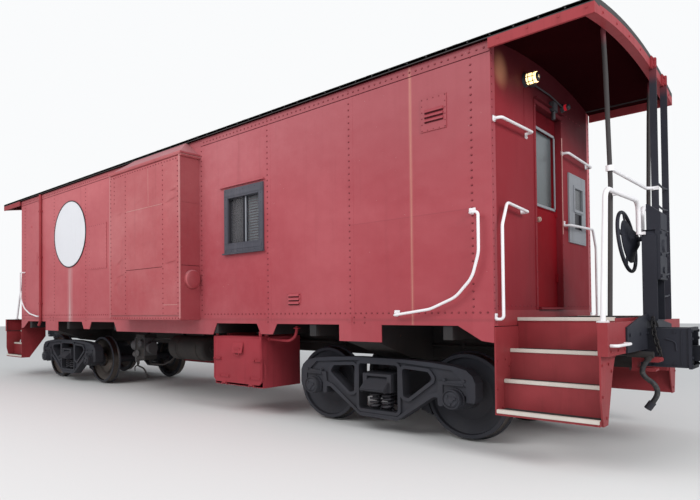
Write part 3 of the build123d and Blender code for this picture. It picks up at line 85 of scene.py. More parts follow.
ahead = Vector((-math.cos(HEADING) * math.cos(LIFT), math.sin(HEADING) * math.cos(LIFT), math.sin(LIFT)))
level_right = ahead.cross(UP).normalized()
level_up = level_right.cross(ahead)
right = math.cos(ROLL) * level_right + math.sin(ROLL) * level_up
up = -math.sin(ROLL) * level_right + math.cos(ROLL) * level_up
lens = bpy.data.cameras.new("camera")
lens.sensor_width = 36.0
lens.lens = FOCAL_PIXELS / WIDE * lens.sensor_width
lens.shift_x = (WIDE / 2 - AXIS_PIXEL[0]) / WIDE
lens.shift_y = (AXIS_PIXEL[1] - TALL / 2) / WIDE
lens.clip_end = FAR_LIMIT
camera = bpy.data.objects.new("camera", lens)
camera.matrix_world = Matrix.Translation(EYE) @ Matrix((right, up, -ahead)).transposed().to_4x4()
bpy.context.scene.collection.objects.link(camera)
bpy.context.scene.camera = camera
print("lens", round(lens.lens, 2), "mm, shift", round(lens.shift_x, 3), round(lens.shift_y, 3))

# %% [markdown]
# Shader trees are long to write node by node, so two small helpers come first. One adds a node and fills
# its inputs with numbers or with links, the other starts an empty material.

# %% Node helpers


def put(tree, kind, inputs=(), **settings):
    """Adds a shader node, applies its settings, and fills inputs with numbers or with links."""
    made = tree.nodes.new(kind)
    for key, value in settings.items():
        setattr(made, key, value)
    for key, value in dict(inputs).items():
        if isinstance(value, bpy.types.NodeSocket):
            tree.links.new(value, made.inputs[key])
        else:
            made.inputs[key].default_value = value
    return made


def fresh_material(name):
    """An empty material and its tree."""
    material = bpy.data.materials.new(name)
    material.use_nodes = True
    material.node_tree.nodes.clear()
    return material, material.node_tree


def finish_with(tree, surface):
    """Links a shader to the material's output."""
    put(tree, "ShaderNodeOutputMaterial", {"Surface": surface})


# %% [markdown]
# The day was overcast, so the light is the same from all sides and a little stronger from above. A pale
# world does most of it. A sky picture could light the car too, but it would bring its own colours. One
# large soft lamp from the camera's side gives the sheet metal its slow change of shade, and a second one
# reaches in under the roof to the end wall. The camera sees a paler sky than the one that lights the car,
# through the Light Path node.

# %% Sky and soft lamps
SKY_LIGHT, SKY_STRENGTH = (0.93, 0.96, 1.0, 1), 0.72
SKY_SEEN = (0.955, 0.965, 0.975, 1)

scene = bpy.context.scene
scene.view_settings.view_transform = "Standard"
world = bpy.data.worlds.new("pale sky")
world.use_nodes = True
sky = world.node_tree
light = sky.nodes["Background"]
light.inputs["Color"].default_value = SKY_LIGHT
light.inputs["Strength"].default_value = SKY_STRENGTH
seen = put(sky, "ShaderNodeBackground", {"Color": SKY_SEEN})
camera_ray = put(sky, "ShaderNodeLightPath").outputs["Is Camera Ray"]
either = put(sky, "ShaderNodeMixShader", {0: camera_ray, 1: light.outputs[0], 2: seen.outputs[0]})
sky.links.new(either.outputs[0], sky.nodes["World Output"].inputs["Surface"])
scene.world = world


def soft_lamp(name, place, aim, size, energy):
    """A rectangular lamp at a place, turned to shine at a point."""
    data = bpy.data.lights.new(name, "AREA")
    data.shape = "RECTANGLE"
    data.size, data.size_y = size
    data.energy = energy
    lamp = bpy.data.objects.new(name, data)
    turn = (Vector(aim) - Vector(place)).to_track_quat("-Z", "Y").to_matrix().to_4x4()
    lamp.matrix_world = Matrix.Translation(place) @ turn
    scene.collection.objects.link(lamp)


soft_lamp("side lamp", (0.5, -11.0, 8.5), (-0.5, 0, 1.5), (10.0, 6.0), 660)
soft_lamp("end lamp", (13.5, -4.0, 6.6), (5.2, 0, 1.8), (5.0, 3.0), 560)
print("lamps:", len(bpy.data.lights))

# %% [markdown]
# The car stands on a plain pale floor, one large face. A view from below would show only that face, so its
# back is made transparent with the Backfacing output, and the floor still takes the shadow from above.

# %% Floor
FLOOR_REACH = 60
FLOOR_TONE = (0.74, 0.74, 0.73, 1)

floor_paint, tree = fresh_material("floor paint")
top_side = put(tree, "ShaderNodeBsdfDiffuse", {"Color": FLOOR_TONE}).outputs[0]
under_side = put(tree, "ShaderNodeBsdfTransparent").outputs[0]
from_below = put(tree, "ShaderNodeNewGeometry").outputs["Backfacing"]
finish_with(tree, put(tree, "ShaderNodeMixShader", {0: from_below, 1: top_side, 2: under_side}).outputs[0])
floor_mesh = bpy.data.meshes.new("studio_floor")
floor_corners = [(x * FLOOR_REACH, y * FLOOR_REACH, 0) for x, y in ((-1, -1), (1, -1), (1, 1), (-1, 1))]
floor_mesh.from_pydata(floor_corners, [], [(0, 1, 2, 3)])
floor_mesh.materials.append(floor_paint)
studio_floor = bpy.data.objects.new("studio_floor", floor_mesh)
scene.collection.objects.link(studio_floor)
print("floor", 2 * FLOOR_REACH, "m wide")

# %% [markdown]
# Every weathering effect below is made of the same few steps: a noise stretched along the rain's way, a
# soft step between two values, a sum or a product, and a mix of two colours. Each step gets a short name
# here.

# %% Shader steps


def stretched_noise(tree, place, stretch, scale, detail, rough=0.5):
    """A noise of the position, stretched differently along the three axes."""
    moved = put(tree, "ShaderNodeMapping", {"Vector": place, "Scale": stretch})
    return put(tree, "ShaderNodeTexNoise", {"Vector": moved.outputs[0], "Scale": scale, "Detail": detail,
                                            "Roughness": rough}).outputs["Fac"]


def ramp(tree, value, low, high, bottom=0.0, top=1.0):
    """A soft step from bottom to top while the value goes from low to high."""
    limits = {"Value": value, "From Min": low, "From Max": high, "To Min": bottom, "To Max": top}
    return put(tree, "ShaderNodeMapRange", limits, interpolation_type="SMOOTHSTEP").outputs[0]


def maths(tree, operation, a, b=0.0):
    """One Math node."""
    return put(tree, "ShaderNodeMath", {0: a, 1: b}, operation=operation).outputs[0]


def times(tree, a, b):
    """A product of two values."""
    return maths(tree, "MULTIPLY", a, b)


def plus(tree, a, b):
    """A sum of two values."""
    return maths(tree, "ADD", a, b)


def mixed(tree, factor, a, b, blend="MIX"):
    """Two colours mixed by a factor."""
    made = put(tree, "ShaderNodeMix", data_type="RGBA", blend_type=blend)
    for socket, value in ((made.inputs[0], factor), (made.inputs[6], a), (made.inputs[7], b)):
        if isinstance(value, bpy.types.NodeSocket):
            tree.links.new(value, socket)
        else:
            socket.default_value = value
    return made.outputs[2]


def object_place(tree):
    """The position on the object."""
    return put(tree, "ShaderNodeTexCoord").outputs["Object"]


def split(tree, vector):
    """The three numbers of a vector."""
    return put(tree, "ShaderNodeSeparateXYZ", {0: vector}).outputs


def between(tree, value, low, high, soft):
    """1 between two values, fading over a soft edge."""
    rise = ramp(tree, value, low - soft, low + soft)
    fall = ramp(tree, value, high - soft, high + soft, 1.0, 0.0)
    return times(tree, rise, fall)


def new_group(name, inputs, outputs):
    """A node group with named sockets, and its inner ends."""
    group = bpy.data.node_groups.new(name, "ShaderNodeTree")
    kinds = {"colour": "NodeSocketColor", "number": "NodeSocketFloat"}
    for label, kind, value in inputs:
        socket = group.interface.new_socket(label, in_out="INPUT", socket_type=kinds[kind])
        socket.default_value = value
    for label, kind in outputs:
        group.interface.new_socket(label, in_out="OUTPUT", socket_type=kinds[kind])
    return group, put(group, "NodeGroupInput").outputs, put(group, "NodeGroupOutput")


# %% [markdown]
# Old paint on a railway car is never one colour. The top of a side bleaches, rain draws thin dark runs down
# it, and ballast dust settles low down. A painted picture could show that for one side only, so one node
# group makes these three and a slow waviness of the sheet from the position alone. Every painted piece uses
# it with its own colours and amounts.

# %% Weathered paint group
weathered, given, out = new_group(
    "weathered paint",
    [("Paint", "colour", (0.4, 0.1, 0.1, 1)), ("Faded", "colour", (0.5, 0.2, 0.2, 1)),
     ("Grime", "colour", (0.1, 0.06, 0.05, 1)), ("Fading", "number", 0.5), ("Runs", "number", 0.3),
     ("Low dust", "number", 0.4), ("Dust height", "number", 1.5), ("Base gloss", "number", 0.5)],
    [("Color", "colour"), ("Roughness", "number"), ("Height", "number")])
place = object_place(weathered)
height = split(weathered, place)[2]
patches = ramp(weathered, stretched_noise(weathered, place, (0.55, 0.55, 0.8), 1.0, 4), 0.36, 0.68)
mottle = ramp(weathered, stretched_noise(weathered, place, (1, 1, 1), 9.0, 6, 0.6), 0.3, 0.75)
bleached = ramp(weathered, height, 0.9, 3.6)
small_fading = plus(weathered, times(weathered, mottle, 0.2), times(weathered, bleached, 0.35))
all_fading = plus(weathered, times(weathered, patches, 0.55), small_fading)
fading = times(weathered, given["Fading"], all_fading)
coat = mixed(weathered, fading, given["Paint"], given["Faded"])

run_lines = ramp(weathered, stretched_noise(weathered, place, (11, 11, 0.5), 1.0, 4, 0.65), 0.52, 0.78)
run_fine = ramp(weathered, stretched_noise(weathered, place, (42, 42, 1.2), 1.0, 2), 0.55, 0.8)
all_runs = maths(weathered, "MAXIMUM", run_lines, times(weathered, run_fine, 0.55))
runs = times(weathered, given["Runs"], all_runs)
coat = mixed(weathered, runs, coat, given["Grime"])

share = maths(weathered, "DIVIDE", height, given["Dust height"])
low = maths(weathered, "SUBTRACT", 1.0, ramp(weathered, share, 0.55, 1.0))
dust_grain = ramp(weathered, stretched_noise(weathered, place, (3, 3, 2), 1.0, 5, 0.6), 0.25, 0.7, 0.35, 1.0)
dust = times(weathered, given["Low dust"], times(weathered, low, dust_grain))
coat = mixed(weathered, dust, coat, given["Grime"])

rough = plus(weathered, given["Base gloss"], times(weathered, plus(weathered, fading, runs), 0.22))
slow_wave = stretched_noise(weathered, place, (1, 1, 1.4), 1.7, 2)
paint_grain = times(weathered, stretched_noise(weathered, place, (1, 1, 1), 260.0, 2), 0.012)
waves = plus(weathered, slow_wave, paint_grain)
for label, value in (("Color", coat), ("Roughness", rough), ("Height", waves)):
    weathered.links.new(value, out.inputs[label])
print("weathered paint group:", len(weathered.nodes), "nodes")

# %% [markdown]
# Rust comes through where water stands and where paint was chipped. A second group gives a mask of it:
# small blots that a slower noise gathers into areas, so that some spots rust and most don't. It is a group
# of its own, because its mask also raises the roughness and lowers the surface.

# %% Rust group
RUST_DARK, RUST_LIGHT = (0.045, 0.016, 0.008, 1), (0.20, 0.075, 0.032, 1)
rusting, given, out = new_group("rust blots", [("Amount", "number", 0.3), ("Size", "number", 1.0)],
                                [("Mask", "number"), ("Color", "colour")])
place = object_place(rusting)
areas = put(rusting, "ShaderNodeTexNoise", {"Vector": place, "Scale": 1.3, "Detail": 2.0}).outputs["Fac"]
blot_scale = maths(rusting, "DIVIDE", 26.0, given["Size"])
blots = put(rusting, "ShaderNodeTexNoise", {"Vector": place, "Scale": blot_scale, "Detail": 7.0,
                                            "Roughness": 0.62}).outputs["Fac"]
edge = maths(rusting, "SUBTRACT", 0.86, times(rusting, given["Amount"], times(rusting, areas, 0.6)))
mask = ramp(rusting, maths(rusting, "SUBTRACT", blots, edge), 0.0, 0.06)
grain = put(rusting, "ShaderNodeTexNoise", {"Vector": place, "Scale": 60.0, "Detail": 4.0}).outputs["Fac"]
rust_tint = put(rusting, "ShaderNodeValToRGB", {0: grain})
for stop, position, tint in zip(rust_tint.color_ramp.elements, (0.35, 0.7), (RUST_DARK, RUST_LIGHT)):
    stop.position = position
    stop.color = tint
rusting.links.new(mask, out.inputs["Mask"])
rusting.links.new(rust_tint.outputs[0], out.inputs["Color"])
print("rust group:", len(rusting.nodes), "nodes")

# %% [markdown]
# A painted finish joins the two groups with a Principled shader, which stays in the material. Some pieces
# need marks of their own, such as the tone of each sheet, and hand them in as a function that changes the
# colour before the rust is laid over it.

# %% Painted finish


def painted(name, paint, faded, grime, fading=0.6, runs=0.3, low_dust=0.4, dust_height=1.5, gloss=0.5,
            rust=0.2, rust_size=1.0, wave=0.004, shine=0.4, extra=None):
    """A weathered paint: both groups, a bump from the sheet's waviness and the rust's grain."""
    material, tree = fresh_material(name)
    coat = put(tree, "ShaderNodeGroup", node_tree=weathered)
    settings = {"Paint": (*paint, 1), "Faded": (*faded, 1), "Grime": (*grime, 1), "Fading": fading,
                "Runs": runs, "Low dust": low_dust, "Dust height": dust_height, "Base gloss": gloss}
    for label, value in settings.items():
        coat.inputs[label].default_value = value
    blots = put(tree, "ShaderNodeGroup", {"Amount": rust, "Size": rust_size}, node_tree=rusting)
    colour = coat.outputs["Color"]
    if extra:
        colour = extra(tree, colour)
    colour = mixed(tree, blots.outputs["Mask"], colour, blots.outputs["Color"])
    roughness = plus(tree, coat.outputs["Roughness"], times(tree, blots.outputs["Mask"], 0.3))
    raised = maths(tree, "SUBTRACT", coat.outputs["Height"], times(tree, blots.outputs["Mask"], 0.05))
    bump = put(tree, "ShaderNodeBump", {"Height": raised, "Distance": wave * 10, "Strength": 0.6})
    finish_with(tree, put(tree, "ShaderNodeBsdfPrincipled", {
        "Base Color": colour, "Roughness": roughness, "Specular IOR Level": shine,
        "Normal": bump.outputs[0]}).outputs[0])
    return material


# %% [markdown]
# The side is nine sheets, each painted and bleached a little differently. A ramp with hard steps gives each
# its tone by its place along the car. The left side is the right side turned half round, so one function
# reads both.

# %% Tones of the side sheets
HALF_BODY = 4.93
PANEL_TONES = ((-4.93, 0.30), (-4.754, 0.55), (-3.424, 0.20), (-2.210, 0.65), (-0.882, 0.35), (0.982, 0.10),
               (2.224, 0.55), (3.424, 0.15), (4.151, 0.45))
SHEET_TONE = (0.46, 0.150, 0.165, 1)
LOWER_TINT, FAR_TINT, UPPER_TINT = (0.95, 0.68, 0.72, 1), (1.15, 1.0, 0.98, 1), (0.84, 0.76, 0.79, 1)
NEAR_RED = (0.355, 0.040, 0.054, 1)


def at_place(tree):
    """Position on the car, with the left side read as the right side turned half round."""
    parts = split(tree, object_place(tree))
    side = times(tree, maths(tree, "SIGN", parts[1]), -1.0)
    return times(tree, parts[0], side), parts[2]


def sheet_tones(tree, colour, x, z):
    """Each sheet's own tone, and the deeper red towards the near end."""
    along = maths(tree, "DIVIDE", plus(tree, x, HALF_BODY), 2 * HALF_BODY)
    tones = put(tree, "ShaderNodeValToRGB", {0: along})
    steps = tones.color_ramp
    steps.interpolation = "CONSTANT"
    for k, (start, tone) in enumerate(PANEL_TONES):
        spot = (start + HALF_BODY) / (2 * HALF_BODY)
        stop = steps.elements[k] if k < 2 else steps.elements.new(spot)
        stop.position = spot
        stop.color = (tone, tone, tone, 1)
    colour = mixed(tree, times(tree, tones.outputs[0], 0.22), colour, SHEET_TONE)
    near_low = times(tree, ramp(tree, x, 0.7, 2.2), ramp(tree, z, 3.45, 2.5))
    colour = mixed(tree, near_low, colour, LOWER_TINT, "MULTIPLY")
    colour = mixed(tree, ramp(tree, x, 1.8, 4.4, 0.0, 0.42), colour, NEAR_RED)
    colour = mixed(tree, ramp(tree, x, -0.4, -1.6), colour, FAR_TINT, "MULTIPLY")
    near_high = times(tree, ramp(tree, x, 1.8, 4.4), ramp(tree, z, 1.6, 3.3))
    return mixed(tree, near_high, colour, UPPER_TINT, "MULTIPLY")


# %% [markdown]
# The side also tells of its repairs: a patch let into the last sheet, a pale run below the disc, the heat
# tint along the welded joint, and chips and scrapes from stones. Each is a mask of the place or of a noise
# with its own colour. They could be separate painted pieces, but a mask has no edge to lift off the sheet.

# %% Marks on the side
PATCH_X, PATCH_TOP = (3.430, 4.745), 2.188
CHALK_X, CHALK_Z = (-2.86, -2.74), (1.12, 2.16)
WELD_X = 4.151


def side_marks(tree, colour):
    """The side's tones, patch, pale run, weld, chips and scrapes."""
    x, z = at_place(tree)
    place = object_place(tree)
    colour = sheet_tones(tree, colour, x, z)
    under_top = ramp(tree, z, PATCH_TOP + 0.004, PATCH_TOP - 0.004)
    patch = times(tree, between(tree, x, *PATCH_X, 0.004), under_top)
    colour = mixed(tree, patch, colour, (0.95, 0.89, 0.90, 1), "MULTIPLY")
    patch_line = between(tree, z, PATCH_TOP - 0.002, PATCH_TOP + 0.005, 0.004)
    patch_edge = times(tree, between(tree, x, *PATCH_X, 0.004), patch_line)
    colour = mixed(tree, times(tree, patch_edge, 0.30), colour, (0.15, 0.020, 0.028, 1))
    streak = ramp(tree, stretched_noise(tree, place, (30, 30, 1.1), 1.0, 4, 0.6), 0.32, 0.66, 0.25, 1.0)
    chalk = times(tree, between(tree, x, *CHALK_X, 0.08), between(tree, z, *CHALK_Z, 0.10))
    colour = mixed(tree, times(tree, chalk, times(tree, streak, 0.72)), colour, (0.60, 0.47, 0.46, 1))
    weld_near = between(tree, x, WELD_X - 0.013, WELD_X + 0.013, 0.012)
    weld_heat = times(tree, weld_near, ramp(tree, z, 1.1, 3.4, 0.40, 0.80))
    colour = mixed(tree, weld_heat, colour, (0.50, 0.185, 0.150, 1))
    chips = ramp(tree, stretched_noise(tree, place, (1, 1, 0.7), 48.0, 3, 0.6), 0.735, 0.775, 0.0, 0.6)
    colour = mixed(tree, chips, colour, (0.58, 0.42, 0.40, 1))
    scrapes = ramp(tree, stretched_noise(tree, place, (1.2, 1.2, 0.35), 21.0, 5, 0.7), 0.66, 0.80, 0.0, 0.35)
    colour = mixed(tree, scrapes, colour, (0.17, 0.022, 0.030, 1))
    sill_dirt = times(tree, between(tree, z, 1.19, 1.215, 0.012), 0.25)
    band = maths(tree, "MAXIMUM", sill_dirt, ramp(tree, z, 3.52, 3.55, 0.0, 0.16))
    return mixed(tree, band, colour, (0.16, 0.03, 0.035, 1))


# %% [markdown]
# Five more finishes have marks of their own: a painted shadow under each rivet head, painted shade on the
# bay's ends, painted shade under the roof and a painted reflection of the lamp on the end wall, painted shade
# on the door's top, and the red that the roof's painters left on the posts and ladders. The surface's own
# normal tells which way a face looks, and that turns with the piece, as paint does.

# %% Marks on rivets, bay, end wall, door and posts
LAMP_MIRROR = (4.93, -1.16, 3.43)


def shadow_below(tree, colour):
    """A painted shadow under a rivet head, where its surface turns down."""
    lean = split(tree, put(tree, "ShaderNodeNewGeometry").outputs["Normal"])[2]
    return mixed(tree, ramp(tree, lean, 0.05, -0.45, 0.15, 0.95), colour, (0.050, 0.008, 0.012, 1))


def bay_faces(tree, colour):
    """Painted shade makes the bay's end faces darker than its bleached outer sheet, and its roof is greyer.
    """
    lean = split(tree, put(tree, "ShaderNodeNewGeometry").outputs["Normal"])
    # Painted shade: faces that look along the car are darkened.
    end = ramp(tree, maths(tree, "ABSOLUTE", lean[0]), 0.6, 0.9, 0.0, 0.55)
    colour = mixed(tree, end, colour, (0.20, 0.020, 0.030, 1))
    grain = stretched_noise(tree, object_place(tree), (1, 1, 0.7), 48.0, 3, 0.6)
    colour = mixed(tree, ramp(tree, grain, 0.72, 0.77, 0.0, 0.6), colour, (0.60, 0.45, 0.43, 1))
    return mixed(tree, ramp(tree, lean[2], 0.3, 0.7, 0.0, 0.5), colour, (0.36, 0.17, 0.19, 1))


def lamp_glow(tree, colour):
    """Painted shade under the roof, and a painted reflection of the lit lamp near the corner."""
    parts = split(tree, object_place(tree))
    end = maths(tree, "SIGN", parts[0])
    across = times(tree, parts[1], end)
    outward = times(tree, parts[0], end)
    folded = put(tree, "ShaderNodeCombineXYZ", {0: outward, 1: across, 2: parts[2]}).outputs[0]
    apart = put(tree, "ShaderNodeVectorMath", {0: folded, 1: LAMP_MIRROR}, operation="DISTANCE")
    reach = apart.outputs["Value"]
    # Painted shade: the wall darkens towards the roof, where the roof keeps the sky's light off.
    under_roof = plus(tree, parts[2], times(tree, across, 0.16))
    colour = mixed(tree, ramp(tree, under_roof, 2.85, 3.52, 0.0, 0.86), colour, (0.040, 0.006, 0.009, 1))
    return mixed(tree, ramp(tree, reach, 0.20, 0.02, 0.0, 0.55), colour, (0.80, 0.36, 0.20, 1))


def dark_top(tree, colour):
    """Painted shade: the door darkens towards the roof, as the wall does."""
    z = at_place(tree)[1]
    return mixed(tree, ramp(tree, z, 2.3, 3.35, 0.0, 0.75), colour, (0.045, 0.005, 0.008, 1))


def red_above(tree, colour):
    """The posts and ladders were sprayed red near the roof."""
    z = at_place(tree)[1]
    return mixed(tree, ramp(tree, z, 3.49, 3.62), colour, (0.16, 0.035, 0.045, 1))


# %% [markdown]
# The car is red on red: the sides are bleached, the bay more so, and what lies under the roof kept its deep
# colour, with painted shade on top of it there. Each finish names its fresh paint, its faded paint and its
# grime, and then how much of each wear it has.

# %% Reds
side_red = painted("side red", (0.355, 0.050, 0.066), (0.50, 0.160, 0.175), (0.16, 0.035, 0.038),
                   fading=0.80, runs=0.16, low_dust=0.12, dust_height=1.9, gloss=0.42, rust=0.12,
                   extra=side_marks)
bay_red = painted("bay red", (0.375, 0.052, 0.063), (0.52, 0.178, 0.182), (0.17, 0.035, 0.038),
                  fading=0.80, runs=0.16, low_dust=0.12, dust_height=1.9, gloss=0.44, rust=0.14,
                  extra=bay_faces)
# Rivet red is darker than the side, and darker still below each head: a painted shadow that makes the rivets
# show as dots.
rivet_red = painted("rivet red", (0.27, 0.036, 0.048), (0.38, 0.09, 0.10), (0.09, 0.016, 0.018),
                    fading=0.7, runs=0.25, low_dust=0.2, dust_height=1.7, gloss=0.5, rust=0.3, shine=0.15,
                    extra=shadow_below)
deep_red = painted("deep red", (0.30, 0.030, 0.038), (0.40, 0.080, 0.088), (0.07, 0.02, 0.018),
                   fading=0.5, runs=0.25, low_dust=0.35, dust_height=1.6, gloss=0.45, rust=0.35,
                   shine=0.15)
tool_red = painted("tool box red", (0.305, 0.028, 0.040), (0.40, 0.070, 0.085), (0.10, 0.020, 0.022),
                   fading=0.6, runs=0.3, low_dust=0.22, dust_height=1.0, gloss=0.45, rust=0.3, shine=0.12)
end_red = painted("end wall red", (0.240, 0.019, 0.027), (0.300, 0.048, 0.059), (0.12, 0.025, 0.028),
                  fading=0.6, runs=0.2, low_dust=0.15, dust_height=1.9, gloss=0.5, rust=0.15, shine=0.05,
                  extra=lamp_glow)
door_red = painted("door red", (0.225, 0.007, 0.012), (0.27, 0.014, 0.021), (0.06, 0.008, 0.010),
                   fading=0.5, runs=0.12, low_dust=0.12, dust_height=1.8, gloss=0.55, rust=0.12,
                   shine=0.02, extra=dark_top)
# The roof's underside is painted near black: painted shade under the eave.
soffit_red = painted("soffit red", (0.016, 0.0020, 0.0028), (0.026, 0.004, 0.005), (0.010, 0.003, 0.003),
                     fading=0.5, runs=0.0, low_dust=0.0, gloss=0.9, rust=0.1, shine=0.0)
# Painted shade: the dark of thin shadow lines under joints, and of the louvres' slots.
shade_dark = painted("painted shade", (0.060, 0.010, 0.014), (0.095, 0.020, 0.024), (0.03, 0.012, 0.010),
                    fading=0.5, runs=0.1, low_dust=0.0, gloss=0.7, rust=0.2, shine=0.1)
# On the bay's skin this pale red is a painted highlight along the raised seams.
pale_seam = painted("pale seam", (0.52, 0.245, 0.225), (0.60, 0.37, 0.34), (0.27, 0.10, 0.09), fading=0.9,
                    runs=0.25, low_dust=0.1, gloss=0.55, rust=0.35)
# Painted highlight: a pale red for the edges of the bay's angles, where they catch the light.
edge_highlight = painted("painted edge highlight", (0.46, 0.150, 0.155), (0.55, 0.27, 0.265), (0.24, 0.07, 0.07),
                    fading=0.8, runs=0.25, low_dust=0.1, gloss=0.5, rust=0.3)
weld_pink = painted("weld pink", (0.46, 0.165, 0.140), (0.55, 0.26, 0.22), (0.27, 0.08, 0.07), fading=0.7,
                    runs=0.3, low_dust=0.1, gloss=0.6, rust=0.3, shine=0.15)
print("painted finishes so far:", len(bpy.data.materials) - 1)

# %% [markdown]
# The running gear, the couplers and the roof are black or grey with brown dust. No black is quite black:
# dust, soot and the sky's light lift it, so each of these paints is a dark blue grey or brown grey.

# %% Blacks and greys
roof_black = painted("roof black", (0.035, 0.030, 0.032), (0.075, 0.07, 0.07), (0.02, 0.016, 0.015),
                     fading=0.7, runs=0.2, low_dust=0.0, gloss=0.68, rust=0.5)
iron_grey = painted("truck grey", (0.022, 0.024, 0.033), (0.050, 0.052, 0.066), (0.055, 0.047, 0.042),
                    fading=0.6, runs=0.15, low_dust=0.28, dust_height=0.9, gloss=0.58, rust=0.4,
                    shine=0.25)
cast_black = painted("casting black", (0.014, 0.015, 0.023), (0.030, 0.032, 0.044), (0.032, 0.028, 0.028),
                     fading=0.6, runs=0.15, low_dust=0.1, dust_height=1.0, gloss=0.55, rust=0.35,
                     shine=0.3)
under_black = painted("under black", (0.018, 0.017, 0.019), (0.04, 0.038, 0.04), (0.070, 0.058, 0.048),
                      fading=0.5, runs=0.2, low_dust=0.4, dust_height=1.3, gloss=0.65, rust=0.6,
                      shine=0.25)
frame_black = painted("frame black", (0.020, 0.018, 0.024), (0.05, 0.048, 0.055), (0.06, 0.05, 0.045),
                      fading=0.5, runs=0.2, low_dust=0.0, gloss=0.45, rust=0.25)
ladder_black = painted("ladder black", (0.020, 0.021, 0.031), (0.048, 0.050, 0.066), (0.05, 0.042, 0.042),
                       fading=0.6, runs=0.2, low_dust=0.0, gloss=0.5, rust=0.3, shine=0.3,
                       extra=red_above)
post_grey = painted("post grey", (0.036, 0.032, 0.033), (0.072, 0.064, 0.064), (0.07, 0.05, 0.045),
                    fading=0.6, runs=0.25, low_dust=0.0, gloss=0.55, rust=0.35, shine=0.25,
                    extra=red_above)
window_grey = painted("window frame grey", (0.050, 0.050, 0.066), (0.105, 0.105, 0.125),
                      (0.30, 0.28, 0.29), fading=0.6, runs=0.22, low_dust=0.0, gloss=0.42, rust=0.1,
                      shine=0.35)
plate_grey = painted("plate grey", (0.25, 0.26, 0.285), (0.34, 0.35, 0.375), (0.12, 0.11, 0.105),
                     fading=0.6, runs=0.35, low_dust=0.0, gloss=0.45, rust=0.3)
valve_grey = painted("valve grey", (0.060, 0.060, 0.066), (0.13, 0.126, 0.13), (0.085, 0.070, 0.060),
                     fading=0.8, runs=0.3, low_dust=0.35, dust_height=1.0, gloss=0.6, rust=0.5,
                     shine=0.25)
print("painted finishes so far:", len(bpy.data.materials) - 1)

# %% [markdown]
# Railings, grab irons and the blank disc are white, step edges and door knobs cream. The curtain and the
# blind are seen through glass, so a dull coat of the same kind is enough for them.

# %% Whites, creams and cloth
rail_white = painted("rail white", (0.82, 0.80, 0.82), (0.88, 0.87, 0.88), (0.35, 0.30, 0.27), fading=0.5,
                     runs=0.14, low_dust=0.1, gloss=0.36, rust=0.35, rust_size=0.6)
disc_white = painted("disc white", (0.75, 0.75, 0.78), (0.80, 0.80, 0.83), (0.42, 0.38, 0.36), fading=0.5,
                     runs=0.14, low_dust=0.0, gloss=0.38, rust=0.12)
knob_cream = painted("knob cream", (0.55, 0.47, 0.38), (0.60, 0.52, 0.44), (0.25, 0.18, 0.13), fading=0.5,
                     runs=0.1, low_dust=0.0, gloss=0.25, rust=0.1)
nosing_cream = painted("nosing cream", (0.64, 0.58, 0.52), (0.74, 0.69, 0.63), (0.20, 0.15, 0.12),
                       fading=0.6, runs=0.1, low_dust=0.25, dust_height=1.4, gloss=0.5, rust=0.45,
                       rust_size=0.5)
curtain_cloth = painted("curtain cloth", (0.088, 0.078, 0.082), (0.125, 0.112, 0.117), (0.12, 0.10, 0.10),
                        fading=0.6, runs=0.2, low_dust=0.0, gloss=0.85, rust=0.0, shine=0.05)
blind_slat = painted("blind slats", (0.22, 0.22, 0.235), (0.31, 0.31, 0.33), (0.14, 0.13, 0.13),
                     fading=0.6, runs=0.1, low_dust=0.0, gloss=0.5, rust=0.0, shine=0.3)
print("painted finishes:", len(bpy.data.materials) - 1)

# %% [markdown]
# Rubber, glass and bare steel aren't paint, so they get shaders of their own. The hose is dull with scuffs.
# The window glass carries a film of dust, and where it must show the curtain behind it, a transparent
# shader is mixed in.

# %% Rubber, glass and steel
hose_rubber, tree = fresh_material("hose rubber")
scuffs = put(tree, "ShaderNodeTexNoise", {"Vector": object_place(tree), "Scale": 45.0, "Detail": 5.0})
scuff = scuffs.outputs["Fac"]
finish_with(tree, put(tree, "ShaderNodeBsdfPrincipled", {
    "Base Color": mixed(tree, ramp(tree, scuff, 0.45, 0.75),
                        (0.018, 0.018, 0.021, 1), (0.07, 0.066, 0.062, 1)),
    "Roughness": ramp(tree, scuff, 0.2, 0.8, 0.45, 0.75),
    "Normal": put(tree, "ShaderNodeBump", {"Height": scuff, "Distance": 0.002, "Strength": 0.4}).outputs[0],
}).outputs[0])


def dust_film(tree, thin, thick):
    """Dust that settled on a pane in slow streaks."""
    streaks = stretched_noise(tree, object_place(tree), (3, 3, 1.2), 2.2, 6, 0.6)
    return ramp(tree, streaks, 0.3, 0.8, thin, thick)


dusty_glass, tree = fresh_material("dusty glass")
film = dust_film(tree, 0.12, 0.5)
finish_with(tree, put(tree, "ShaderNodeBsdfPrincipled", {
    "Base Color": mixed(tree, film, (0.02, 0.024, 0.028, 1), (0.16, 0.16, 0.165, 1)),
    "Roughness": film,
}).outputs[0])

clear_glass, tree = fresh_material("clear glass")
film = dust_film(tree, 0.16, 0.34)
grey_film = {"Base Color": (0.13, 0.13, 0.14, 1), "Roughness": 0.08}
pane = put(tree, "ShaderNodeBsdfPrincipled", grey_film).outputs[0]
see_through = put(tree, "ShaderNodeBsdfTransparent").outputs[0]
finish_with(tree, put(tree, "ShaderNodeMixShader", {0: film, 1: see_through, 2: pane}).outputs[0])

# The door pane is painted lighter towards its top: a painted reflection of the sky.
door_pane, tree = fresh_material("door pane")
sky_reflection = ramp(tree, split(tree, object_place(tree))[2], 2.3, 3.2)
finish_with(tree, put(tree, "ShaderNodeBsdfPrincipled", {
    "Base Color": mixed(tree, sky_reflection, (0.062, 0.078, 0.080, 1), (0.110, 0.130, 0.138, 1)),
    "Roughness": 0.22}).outputs[0])


